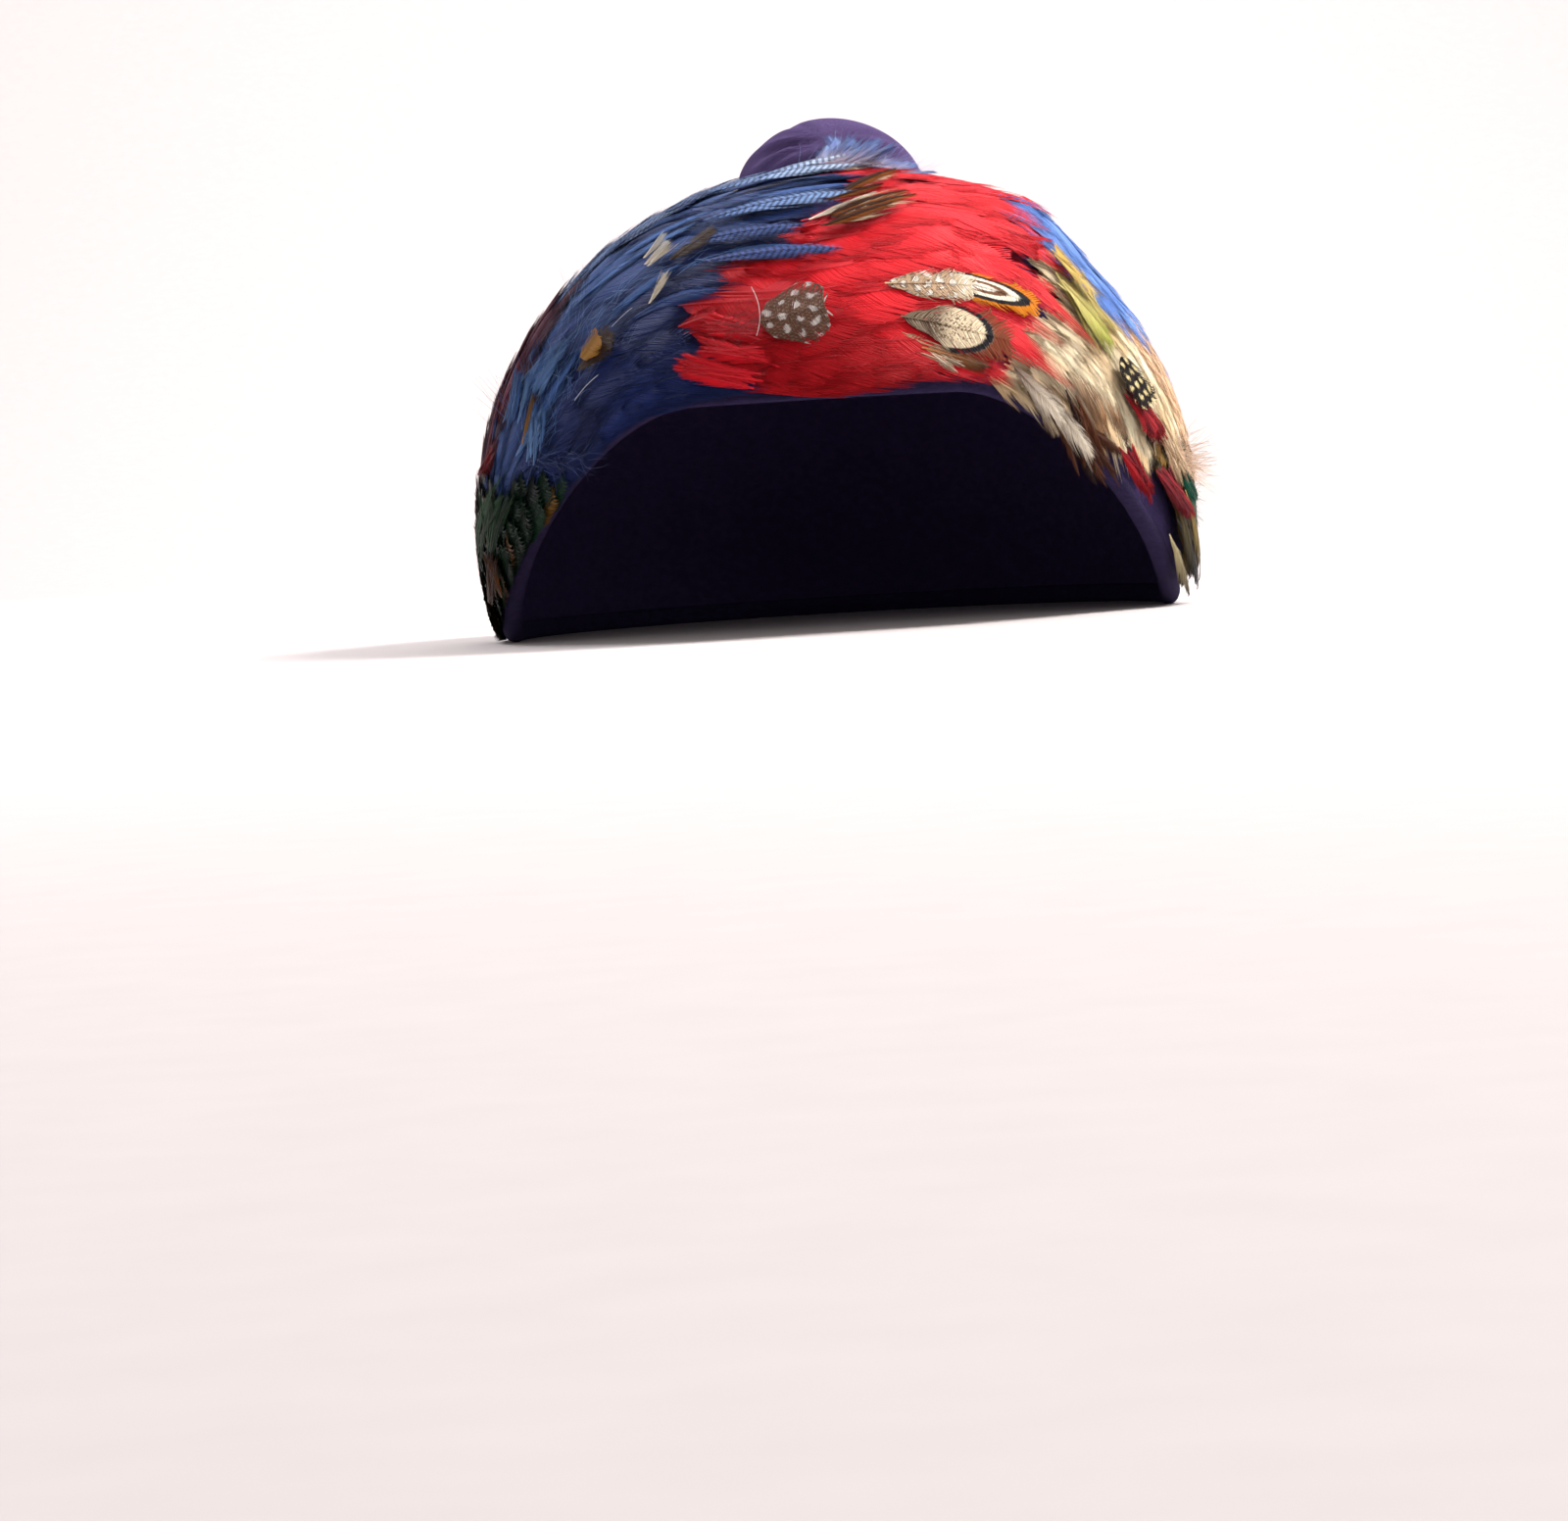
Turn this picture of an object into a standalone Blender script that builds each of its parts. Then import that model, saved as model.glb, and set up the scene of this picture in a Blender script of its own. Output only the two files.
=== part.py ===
# Feather cap: a close velvet skull cap, arched up over the forehead and bound round its edge,
# with a padded velvet knot on the crown and a band of feathers laid over the front and sides.
# Metres. +Z is up, the forehead faces -Y, and the cap rests on its edge at Z = 0.
#
# The cap is part of an ellipsoid. A direction on it is a unit vector, and a lift is a height
# above the velvet. The feather band runs round the front-back axis: turn is the angle about
# that axis, 0 at the crown and positive to the +X side, and latitude is the angle towards the
# forehead, 0 at the widest cross-section.

import math

import bmesh
import bpy
from mathutils import Vector

# Velvet shell
HALF_WIDTH = 0.081
HALF_LENGTH = 0.091
CROWN_RISE = 0.079  # from the ellipsoid's centre to the crown
CENTRE_HEIGHT = 0.024  # of the ellipsoid's centre above the rest plane
SHELL_WALL = 0.002
SHELL_SIDES = 48
SHELL_RINGS = 10

# Edge of the cap
ARCH_HEIGHT = 0.050  # of the front edge above the rest plane
ARCH_FLAT_ANGLE = math.radians(22)  # the arch is level this far to each side of the front
ARCH_END_ANGLE = math.radians(85)  # and reaches the rest plane here
BINDING_WIDTH = 0.004
BINDING_DEPTH = 0.0045
BINDING_CHAMFER = 0.001
GAP = 0.0003  # between pieces that lie on each other

# Velvet knot
KNOT_RADIUS = 0.0215
KNOT_RISE = 0.0150
KNOT_BACK = 0.010  # of its middle behind the widest cross-section
KNOT_SIDES = 48
KNOT_RINGS = 9
KNOT_SLOPE = 1.35  # 1 is a half ellipse, and more lets its sides slope inwards
FOLD_SOURCE = -0.62  # where the folds meet, as a share of the radius towards the forehead
# Folds of the knot: angle seen from where they meet, depth, width in degrees
KNOT_FOLDS = (
    {"angle": 165, "depth": 0.0024, "width": 9},
    {"angle": 138, "depth": 0.0012, "width": 8},
    {"angle": 102, "depth": 0.0009, "width": 9},
    {"angle": 64, "depth": 0.0009, "width": 8},
    {"angle": 22, "depth": 0.0016, "width": 9},
)

# Feather band
PAD_GAP = 0.0008  # under a pad, whose flat facets sag a little towards the velvet
PAD_BACK = 0.0011  # thickness where a feather leaves its row
FEATHER_RISE = 0.0015  # by which a row's tips stand over the next row
FEATHER_CROWN = 0.0003  # by which the middle of a feather stands over its sides
EDGE_MARGIN = 0.0010  # from the binding to the band
SEAM_LATITUDE = math.radians(15)  # between the front and the rear band
SEAM_GAP = 0.0006
LINE_GAP = 0.0006  # between two pads that meet along a line of round tips
BAND_BACK = 0.019  # how far the band reaches behind the widest cross-section
KNOT_CLEARANCE = 0.0025  # between the knot and the band in front of it
NOTCH_HALF_WIDTH = 0.036  # of the round notch in the band's rear edge that the knot stands in
NOTCH_CURVE = 2.2
TIP_SHARE = 0.42  # of a feather's width by which its round tip reaches past its row's line
TIP_FADE = 0.12  # share of the way across in which the tips fade out at the band's edges
FEATHERS_ACROSS = {"front": 6, "rear": 4}
POINTS_PER_FEATHER = {"front": 4, "rear": 3}

# Lines across the band, from the front edge to the rear edge of their band. Each row gives
# the turn in degrees at a share of the way across.
LINES = {
    "left_end": ((0.0, -97), (1.0, -97)),
    "left": ((0.0, -81), (1.0, -79)),
    "navy_red": ((0.0, -44), (0.15, -36), (0.32, -20), (0.50, -3), (0.75, 7), (1.0, 9)),
    "red_cream": ((0.0, 56), (0.43, 50), (0.86, 43), (1.0, 41)),
    "right": ((0.0, 84), (1.0, 84)),
    "right_end": ((0.0, 97), (1.0, 97)),
    "rear_left_end": ((0.0, -97), (0.4, -102), (1.0, -102)),
    "rear_left": ((0.0, -80), (1.0, -82)),
    "plum_blue": ((0.0, -42), (1.0, -50)),
    "blue_red": ((0.0, 7), (1.0, 10)),
    "red_sky": ((0.0, 36), (1.0, 32)),
    "sky_tan": ((0.0, 60), (1.0, 66)),
    "rear_right": ((0.0, 84), (1.0, 84)),
    "rear_right_end": ((0.0, 97), (0.4, 100), (1.0, 100)),
}

# Pads of the band. Their rows of feathers run from the first line to the last.
PADS = (
    {"name": "left_end_feathers", "band": "front", "start": "left_end", "end": "left",
     "rows": 2, "colour": "bronze"},
    {"name": "navy_feathers", "band": "front", "start": "left", "end": "navy_red",
     "rows": 5, "colour": "navy"},
    {"name": "red_feathers", "band": "front", "start": "navy_red", "end": "red_cream",
     "rows": 5, "colour": "red"},
    {"name": "cream_feathers", "band": "front", "start": "red_cream", "end": "right",
     "rows": 3, "colour": "cream"},
    {"name": "right_end_feathers", "band": "front", "start": "right", "end": "right_end",
     "rows": 2, "colour": "bronze"},
    {"name": "left_end_rear_feathers", "band": "rear", "start": "rear_left_end",
     "end": "rear_left", "rows": 2, "colour": "bronze"},
    {"name": "plum_feathers", "band": "rear", "start": "rear_left", "end": "plum_blue",
     "rows": 3, "colour": "plum"},
    {"name": "barred_blue_feathers", "band": "rear", "start": "plum_blue", "end": "blue_red",
     "rows": 4, "colour": "light_blue"},
    {"name": "red_crown_feathers", "band": "rear", "start": "blue_red", "end": "red_sky",
     "rows": 2, "colour": "red"},
    {"name": "sky_blue_feathers", "band": "rear", "start": "red_sky", "end": "sky_tan",
     "rows": 2, "colour": "light_blue"},
    {"name": "tan_feathers", "band": "rear", "start": "sky_tan", "end": "rear_right",
     "rows": 2, "colour": "cream"},
    {"name": "right_end_rear_feathers", "band": "rear", "start": "rear_right",
     "end": "rear_right_end", "rows": 2, "colour": "bronze"},
)

# Single feathers on top of the pads
LEAF_THICKNESS = 0.0008
LEAF_LENGTH_STEPS = 7
LEAF_WIDTH_STEPS = 2
LEAF_TIP_SHARE = 0.16  # of its widest, where a single feather ends
LEAF_GAP = 0.0005
# Middle of each as shares of the half width and the crown rise, seen from the front. Heading
# is in degrees from level towards the rest plane on the +X side. Length and width are shares
# of the half width. A blunt feather is round at its tip and a pointed one tapers. Layer 1
# lies on layer 0.
LEAVES = (
    {"name": "barred_hackle_1", "across": -0.03, "up": 0.865, "heading": -4,
     "length": 0.42, "width": 0.093, "blunt": 0.2, "layer": 0, "colour": "light_blue"},
    {"name": "barred_hackle_2", "across": -0.05, "up": 0.725, "heading": 3,
     "length": 0.37, "width": 0.052, "blunt": 0.1, "layer": 0, "colour": "navy"},
    {"name": "brown_hackle", "across": 0.150, "up": 0.775, "heading": -12,
     "length": 0.25, "width": 0.093, "blunt": 0.3, "layer": 0, "colour": "bronze"},
    {"name": "guinea_feather", "across": -0.105, "up": 0.55, "heading": 0,
     "length": 0.25, "width": 0.173, "blunt": 0.9, "layer": 0, "colour": "speckled"},
    {"name": "pheasant_upper_feather", "across": 0.465, "up": 0.60, "heading": 14,
     "length": 0.32, "width": 0.117, "blunt": 0.7, "layer": 0, "colour": "amber"},
    {"name": "pheasant_lower_feather", "across": 0.335, "up": 0.475, "heading": 16,
     "length": 0.32, "width": 0.160, "blunt": 0.8, "layer": 0, "colour": "speckled"},
    {"name": "spotted_neck_feather", "across": 0.270, "up": 0.615, "heading": 6,
     "length": 0.27, "width": 0.105, "blunt": 0.6, "layer": 1, "colour": "speckled"},
    {"name": "lime_feather", "across": 0.675, "up": 0.55, "heading": 44,
     "length": 0.25, "width": 0.086, "blunt": 0.3, "layer": 0, "colour": "lime"},
    {"name": "dark_spotted_feather", "across": 0.825, "up": 0.33, "heading": 66,
     "length": 0.21, "width": 0.111, "blunt": 0.7, "layer": 0, "colour": "speckled"},
    {"name": "red_side_feather", "across": 0.905, "up": 0.13, "heading": 74,
     "length": 0.17, "width": 0.086, "blunt": 0.6, "layer": 0, "colour": "red"},
    {"name": "cream_tip_feather", "across": -0.455, "up": 0.755, "heading": -32,
     "length": 0.20, "width": 0.080, "blunt": 0.8, "layer": 0, "colour": "cream"},
    {"name": "ochre_feather", "across": -0.665, "up": 0.49, "heading": -38,
     "length": 0.14, "width": 0.093, "blunt": 0.8, "layer": 0, "colour": "amber"},
)

# Colour, roughness
FINISHES = {
    "velvet": ((0.035, 0.015, 0.085), 0.95),
    "navy": ((0.012, 0.03, 0.16), 0.6),
    "light_blue": ((0.08, 0.2, 0.6), 0.6),
    "red": ((0.75, 0.01, 0.015), 0.6),
    "plum": ((0.08, 0.008, 0.03), 0.6),
    "cream": ((0.75, 0.55, 0.32), 0.6),
    "bronze": ((0.05, 0.06, 0.03), 0.5),
    "amber": ((0.6, 0.25, 0.02), 0.6),
    "lime": ((0.5, 0.5, 0.08), 0.6),
    "speckled": ((0.25, 0.17, 0.12), 0.6),
}


def smoothstep(share):
    share = min(max(share, 0.0), 1.0)
    return share * share * (3 - 2 * share)


def lifted(direction, lift):
    """The point above the shell in a direction from the ellipsoid's centre."""
    return Vector((
        (HALF_WIDTH + lift) * direction.x,
        (HALF_LENGTH + lift) * direction.y,
        CENTRE_HEIGHT + (CROWN_RISE + lift) * direction.z,
    ))


def at_height(heading, height, lift):
    """The point of the lifted shell at a height. Heading is 0 at the forehead."""
    rise = (height - CENTRE_HEIGHT) / (CROWN_RISE + lift)
    level = math.sqrt(max(0.0, 1 - rise * rise))
    return lifted(Vector((level * math.sin(heading), -level * math.cos(heading), rise)), lift)


def edge_height(heading):
    """Height of the cap's edge above the rest plane: level at the sides and back, arched in front."""
    heading = abs((heading + math.pi) % (2 * math.pi) - math.pi)
    share = (ARCH_END_ANGLE - heading) / (ARCH_END_ANGLE - ARCH_FLAT_ANGLE)
    return ARCH_HEIGHT * smoothstep(share)


def band_direction(turn, latitude):
    return Vector((
        math.sin(turn) * math.cos(latitude),
        -math.sin(latitude),
        math.cos(turn) * math.cos(latitude),
    ))


def front_latitude(turn):
    """Where the feather band ends above the binding, found by halving."""
    low, high = 0.0, math.radians(89)
    for _ in range(30):
        middle = (low + high) / 2
        direction = band_direction(turn, middle)
        floor = edge_height(math.atan2(direction.x, -direction.y)) + BINDING_DEPTH + EDGE_MARGIN
        if lifted(direction, 0).z > floor:
            low = middle
        else:
            high = middle
    return low


def rear_latitude(turn):
    """Where the band ends behind, drawn forward round the knot."""
    across = abs(HALF_WIDTH * math.sin(turn)) / NOTCH_HALF_WIDTH
    back = BAND_BACK
    if across < 1 and math.cos(turn) > 0:
        before_knot = KNOT_BACK - KNOT_RADIUS - KNOT_CLEARANCE
        back = before_knot + (BAND_BACK - before_knot) * across ** NOTCH_CURVE
    return -math.asin(back / HALF_LENGTH)


def band_limits(band, turn):
    half_gap = SEAM_GAP / 2 / HALF_LENGTH
    if band == "front":
        return front_latitude(turn), SEAM_LATITUDE + half_gap
    return SEAM_LATITUDE - half_gap, rear_latitude(turn)


def turn_on_line(line, share):
    """The turn, in radians, of a line across the band."""
    points = LINES[line]
    for (share_a, turn_a), (share_b, turn_b) in zip(points, points[1:]):
        if share <= share_b:
            along = (share - share_a) / (share_b - share_a)
            return math.radians(turn_a + (turn_b - turn_a) * along)
    return math.radians(points[-1][1])


def feather_round(share, feathers, row):
    """0 between two feathers of a row and 1 in the middle of one. Rows are staggered by half."""
    place = (share * feathers + 0.5 * (row % 2)) % 1.0
    return 1 - (2 * place - 1) ** 2


def row_line(pad, row):
    """Turn before and after the tips are drawn out, and latitude, at each column of a row's line.

    The first and last lines of a pad are those of the next pads too, so they share one stagger.
    """
    feathers = FEATHERS_ACROSS[pad["band"]]
    columns = feathers * POINTS_PER_FEATHER[pad["band"]]
    stagger = 0 if row in (0, pad["rows"]) else row
    line = []
    for column in range(columns + 1):
        share = column / columns
        start, end = turn_on_line(pad["start"], share), turn_on_line(pad["end"], share)
        turn = start + (end - start) * row / pad["rows"]
        first, last = band_limits(pad["band"], turn)
        latitude = first + (last - first) * share
        fade = smoothstep(min(share, 1 - share) / TIP_FADE)
        reach = TIP_SHARE * (first - last) / feathers / math.cos(latitude)
        tip = reach * fade * feather_round(share, feathers, stagger)
        line.append((turn, turn + tip, latitude))
    return line


def set_apart(line, side):
    """A line moved along the turn by half the gap between two pads, measured across the line."""
    moved = []
    for i, (turn, tip, latitude) in enumerate(line):
        slope = 0.0
        for other in line[max(i - 1, 0):i + 2]:
            if other[2] != latitude:
                step = (other[1] - tip) * math.cos(latitude) / (other[2] - latitude)
                slope = max(slope, abs(step))
        shift = LINE_GAP / 2 / HALF_WIDTH * math.hypot(1, slope) / math.cos(latitude)
        moved.append((turn, tip + side * shift, latitude))
    return moved


def new_material(name, finish):
    colour, roughness = FINISHES[finish]
    material = bpy.data.materials.new(name)
    material.use_nodes = True
    shader = material.node_tree.nodes["Principled BSDF"]
    shader.inputs["Base Color"].default_value = (*colour, 1)
    shader.inputs["Roughness"].default_value = roughness
    shader.inputs["Metallic"].default_value = 0.0
    return material


def add_object(name, mesh_builder, finish, frame, sharp_angle=math.radians(35)):
    bmesh.ops.recalc_face_normals(mesh_builder, faces=mesh_builder.faces)
    mesh = bpy.data.meshes.new(name)
    mesh_builder.to_mesh(mesh)
    mesh_builder.free()
    mesh.materials.append(new_material(name, finish))
    mesh.shade_smooth()
    mesh.set_sharp_from_angle(angle=sharp_angle)
    piece = bpy.data.objects.new(name, mesh)
    piece.parent = frame
    bpy.context.scene.collection.objects.link(piece)
    return piece


def skin(builder, rows, closed=False):
    """Faces between each row of vertices and the next. Closed rows join their ends."""
    for row, following in zip(rows, rows[1:]):
        count = len(row)
        for i in range(count if closed else count - 1):
            j = (i + 1) % count
            builder.faces.new((row[i], row[j], following[j], following[i]))


def build_shell(frame):
    """A hollow dome: an outer and an inner skin that meet in the edge over the binding."""
    builder = bmesh.new()
    skins = []
    for lift in (0.0, -SHELL_WALL):
        rings = []
        for ring in range(SHELL_RINGS):
            rings.append([])
            for side in range(SHELL_SIDES):
                heading = 2 * math.pi * side / SHELL_SIDES
                foot = edge_height(heading) + BINDING_DEPTH + GAP
                polar = math.acos((foot - CENTRE_HEIGHT) / (CROWN_RISE + lift))
                polar *= 1 - ring / SHELL_RINGS
                level = math.sin(polar)
                direction = Vector((
                    level * math.sin(heading), -level * math.cos(heading), math.cos(polar),
                ))
                rings[-1].append(builder.verts.new(lifted(direction, lift)))
        skin(builder, rings, closed=True)
        crown = builder.verts.new(lifted(Vector((0, 0, 1)), lift))
        for i, vertex in enumerate(rings[-1]):
            builder.faces.new((vertex, rings[-1][(i + 1) % SHELL_SIDES], crown))
        skins.append(rings[0])
    skin(builder, skins, closed=True)
    return add_object("velvet_shell", builder, "velvet", frame)


def build_binding(frame):
    """The bound edge: a bar with broken corners, carried round the whole edge."""
    builder = bmesh.new()
    half, cut = BINDING_WIDTH / 2, BINDING_CHAMFER
    section = (
        (-half + cut, 0), (half - cut, 0), (half, cut), (half, BINDING_DEPTH - cut),
        (half - cut, BINDING_DEPTH), (-half + cut, BINDING_DEPTH),
        (-half, BINDING_DEPTH - cut), (-half, cut),
    )
    rows = []
    for side in range(SHELL_SIDES + 1):
        heading = 2 * math.pi * side / SHELL_SIDES
        if side == SHELL_SIDES:
            rows.append(rows[0])
            break
        foot = edge_height(heading)
        rows.append([
            builder.verts.new(at_height(heading, foot + up, out - SHELL_WALL / 2))
            for out, up in section
        ])
    skin(builder, rows, closed=True)
    return add_object("rim_binding", builder, "velvet", frame)


def knot_fold_depth(right, back):
    """How deep the folds are at a place on the knot, in shares of its radius from its middle."""
    away = math.hypot(right, back - FOLD_SOURCE)
    angle = math.degrees(math.atan2(back - FOLD_SOURCE, right))
    reach = smoothstep(away / 0.35) * smoothstep((1.75 - away) / 0.9)
    return reach * sum(
        fold["depth"] * math.exp(-(((angle - fold["angle"]) / fold["width"]) ** 2))
        for fold in KNOT_FOLDS
    )


def build_knot(frame):
    """A padded dome on the crown, with soft folds that meet at its front."""
    builder = bmesh.new()
    latitude = -math.asin(KNOT_BACK / HALF_LENGTH)
    middle = band_direction(0, latitude)

    def place(right, back, lift):
        x, y = KNOT_RADIUS * right, KNOT_BACK + KNOT_RADIUS * back
        flat = Vector((x / HALF_WIDTH, y / HALF_LENGTH, 0))
        flat.z = math.sqrt(1 - flat.length_squared)
        return lifted(flat, lift)

    rows = []
    for ring in range(KNOT_RINGS):
        rise = (ring / KNOT_RINGS) * math.pi / 2
        reach = math.cos(rise) ** KNOT_SLOPE
        height = KNOT_RISE * math.sin(rise) ** KNOT_SLOPE if ring else 0.0
        row = []
        for side in range(KNOT_SIDES):
            angle = 2 * math.pi * side / KNOT_SIDES
            right, back = reach * math.cos(angle), reach * math.sin(angle)
            fold = knot_fold_depth(right, back) * math.sin(rise)
            pull = 1 - fold / KNOT_RADIUS * math.cos(rise)
            row.append(builder.verts.new(place(right * pull, back * pull, GAP + height - fold)))
        rows.append(row)
    skin(builder, rows, closed=True)
    top = builder.verts.new(lifted(middle, GAP + KNOT_RISE - knot_fold_depth(0, 0)))
    for i, vertex in enumerate(rows[-1]):
        builder.faces.new((vertex, rows[-1][(i + 1) % KNOT_SIDES], top))
    half_row = [builder.verts.new(place(math.cos(a) * 0.5, math.sin(a) * 0.5, GAP))
                for a in (2 * math.pi * side / KNOT_SIDES for side in range(KNOT_SIDES))]
    skin(builder, [half_row, rows[0]], closed=True)
    seat = builder.verts.new(lifted(middle, GAP))
    for i, vertex in enumerate(half_row):
        builder.faces.new((seat, half_row[(i + 1) % KNOT_SIDES], vertex))
    return add_object("crown_knot", builder, "velvet", frame, math.radians(60))


def pad_lines(pad):
    """Turn and latitude along each row's line and half-way between, from start to end."""
    rows = [row_line(pad, row) for row in range(pad["rows"] + 1)]
    rows[0] = set_apart(rows[0], 1)
    rows[-1] = set_apart(rows[-1], -1)
    lines = []
    for i, row in enumerate(rows):
        following = rows[min(i + 1, len(rows) - 1)]
        here, between = [], []
        for column, (place, other) in enumerate(zip(row, following)):
            first, last = band_limits(pad["band"], (place[0] + other[0]) / 2)
            share = column / (len(row) - 1)
            here.append((place[1], place[2]))
            between.append(((place[1] + other[1]) / 2, first + (last - first) * share))
        lines += [here, between]
    return lines[:-1]


def build_pad(pad, frame):
    """A backing that follows the velvet, with rows of feathers whose tips stand over the next row."""
    builder = bmesh.new()
    rows, feathers = pad["rows"], FEATHERS_ACROSS[pad["band"]]
    places = pad_lines(pad)

    def point(half_row, column, lift):
        turn, latitude = places[half_row][column]
        first, last = band_limits(pad["band"], turn)
        latitude = min(max(latitude, last), first)
        return builder.verts.new(lifted(band_direction(turn, latitude), lift))

    columns = len(places[0]) - 1
    lines = []
    for column in range(columns + 1):
        line = {"foot": [], "under": [], "low": [], "middle": [], "high": []}
        for row in range(rows):
            crown = FEATHER_CROWN * feather_round(column / columns, feathers, row + 1)
            low = PAD_GAP + PAD_BACK + crown
            line["foot"].append(point(2 * row, column, PAD_GAP))
            line["under"].append(point(2 * row + 1, column, PAD_GAP))
            line["low"].append(point(2 * row, column, low))
            line["middle"].append(point(2 * row + 1, column, low + FEATHER_RISE / 2))
            line["high"].append(point(2 * row + 2, column, low + FEATHER_RISE))
        line["foot"].append(point(2 * rows, column, PAD_GAP))
        lines.append(line)

    def strip(name_a, row_a, name_b, row_b):
        skin(builder, [
            [line[name_a][row_a] for line in lines], [line[name_b][row_b] for line in lines],
        ])

    strip("low", 0, "foot", 0)
    for row in range(rows):
        strip("foot", row, "under", row)
        strip("under", row, "foot", row + 1)
        strip("middle", row, "low", row)
        strip("high", row, "middle", row)
        if row + 1 < rows:
            strip("low", row + 1, "high", row)
        for line in (lines[0], lines[-1]):
            near = [line["foot"][row], line["under"][row], line["middle"][row], line["low"][row]]
            step = [line["low"][row + 1]] if row + 1 < rows else []
            far = [line["under"][row], line["foot"][row + 1], *step, line["high"][row],
                   line["middle"][row]]
            builder.faces.new(near)
            builder.faces.new(far)
    strip("foot", rows, "high", rows - 1)
    return add_object(pad["name"], builder, pad["colour"], frame)


def leaf_half_width(along, blunt):
    """Half the width of a single feather, as a share of its widest, from root to tip."""
    root = smoothstep(along / 0.35) * 0.75 + 0.25
    tip_power = 0.45 + 0.9 * (1 - blunt)
    return root * max(1 - along ** (2 + 3 * blunt), 0.0) ** tip_power


def build_leaf(leaf, frame):
    """One feather that lies on the pads, crowned across its width."""
    builder = bmesh.new()
    across, up = leaf["across"], leaf["up"]
    length, widest = leaf["length"] * HALF_WIDTH, leaf["width"] * HALF_WIDTH
    middle = Vector((across, -math.sqrt(1 - across ** 2 - up ** 2), up))
    heading = math.radians(leaf["heading"])
    forward = Vector((math.cos(heading), 0, -math.sin(heading)))
    forward = (forward - middle * forward.dot(middle)).normalized()
    side = middle.cross(forward)
    scale = (HALF_WIDTH + CROWN_RISE) / 2
    layer_step = LEAF_THICKNESS + FEATHER_CROWN + LEAF_GAP
    seat = PAD_GAP + PAD_BACK + FEATHER_RISE + FEATHER_CROWN + LEAF_GAP
    seat += leaf["layer"] * layer_step

    def place(along, out, lift):
        shift = forward * (along * length / scale) + side * (out / scale)
        return builder.verts.new(lifted((middle + shift).normalized(), lift))

    rows = []
    for step in range(LEAF_LENGTH_STEPS + 1):
        along = step / LEAF_LENGTH_STEPS
        half = widest / 2 * max(leaf_half_width(along, leaf["blunt"]), LEAF_TIP_SHARE)
        outs = [half * (2 * i / LEAF_WIDTH_STEPS - 1) for i in range(LEAF_WIDTH_STEPS + 1)]
        under = [place(along - 0.5, out, seat) for out in outs]
        over = [
            place(along - 0.5, out,
                  seat + LEAF_THICKNESS + FEATHER_CROWN * (1 - (out / half) ** 2))
            for out in reversed(outs)
        ]
        rows.append(under + over)
    skin(builder, rows, closed=True)
    last = len(rows[0]) - 1
    for row in (rows[0], rows[-1]):
        for i in range(LEAF_WIDTH_STEPS):
            builder.faces.new((row[i], row[i + 1], row[last - i - 1], row[last - i]))
    return add_object(leaf["name"], builder, leaf["colour"], frame)


def stand_over_origin(frame, pieces):
    """Move the frame so that the middle of the cap's length is over the origin."""
    reach = [corner[1] for piece in pieces for corner in piece.bound_box]
    frame.location.y = -(min(reach) + max(reach)) / 2


def main():
    for old in list(bpy.data.objects):
        bpy.data.objects.remove(old)
    frame = bpy.data.objects.new("cap_frame", None)
    bpy.context.scene.collection.objects.link(frame)
    pieces = [build_shell(frame), build_binding(frame), build_knot(frame)]
    pieces += [build_pad(pad, frame) for pad in PADS]
    pieces += [build_leaf(leaf, frame) for leaf in LEAVES]
    stand_over_origin(frame, pieces)


main()
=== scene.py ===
# %% [markdown]
# # A velvet cap with a band of feathers
#
# The cap is a close skull cap in purple velvet. It is arched up over the forehead, bound round
# its edge, and has a padded velvet knot on the crown. A band of dyed and natural feathers lies
# over the front and the sides. Every feather starts nearer the left end of the band and points
# to the right end, so each row covers the roots of the next one, as roof tiles do.
#
# The imported CAD model gives the sizes. We load it first and keep its parts, so that their boxes
# can be read.

# %% Load the frame
import math

import bpy
import numpy as np
from mathutils import Matrix, Vector


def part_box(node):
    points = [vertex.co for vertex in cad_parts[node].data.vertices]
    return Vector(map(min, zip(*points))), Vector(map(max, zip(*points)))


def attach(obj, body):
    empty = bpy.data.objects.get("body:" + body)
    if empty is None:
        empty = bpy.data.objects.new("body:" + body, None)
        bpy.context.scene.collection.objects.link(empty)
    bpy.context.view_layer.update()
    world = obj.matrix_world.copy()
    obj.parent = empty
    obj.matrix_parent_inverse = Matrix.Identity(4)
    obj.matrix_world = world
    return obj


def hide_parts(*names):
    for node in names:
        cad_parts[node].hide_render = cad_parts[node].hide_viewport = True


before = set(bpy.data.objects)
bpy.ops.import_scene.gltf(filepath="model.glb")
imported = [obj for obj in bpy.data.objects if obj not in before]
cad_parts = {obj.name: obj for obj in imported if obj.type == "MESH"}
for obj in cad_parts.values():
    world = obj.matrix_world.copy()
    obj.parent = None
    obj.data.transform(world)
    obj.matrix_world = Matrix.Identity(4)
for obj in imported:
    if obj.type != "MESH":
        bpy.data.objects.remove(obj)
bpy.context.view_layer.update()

# %% [markdown]
# ## The cap's form
#
# A blocked cap is close to part of an ellipsoid: wider than a ball from front to back, and a
# little flatter on top. With one formula for it, every feather can be laid on it exactly. A
# direction is a unit vector from the ellipsoid's centre, and a lift is a height over the velvet.
#
# The band of feathers runs round the front-back axis, so we also use two angles: the turn about
# that axis, 0 at the crown and positive to the +X side, and the latitude towards the forehead.

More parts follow.
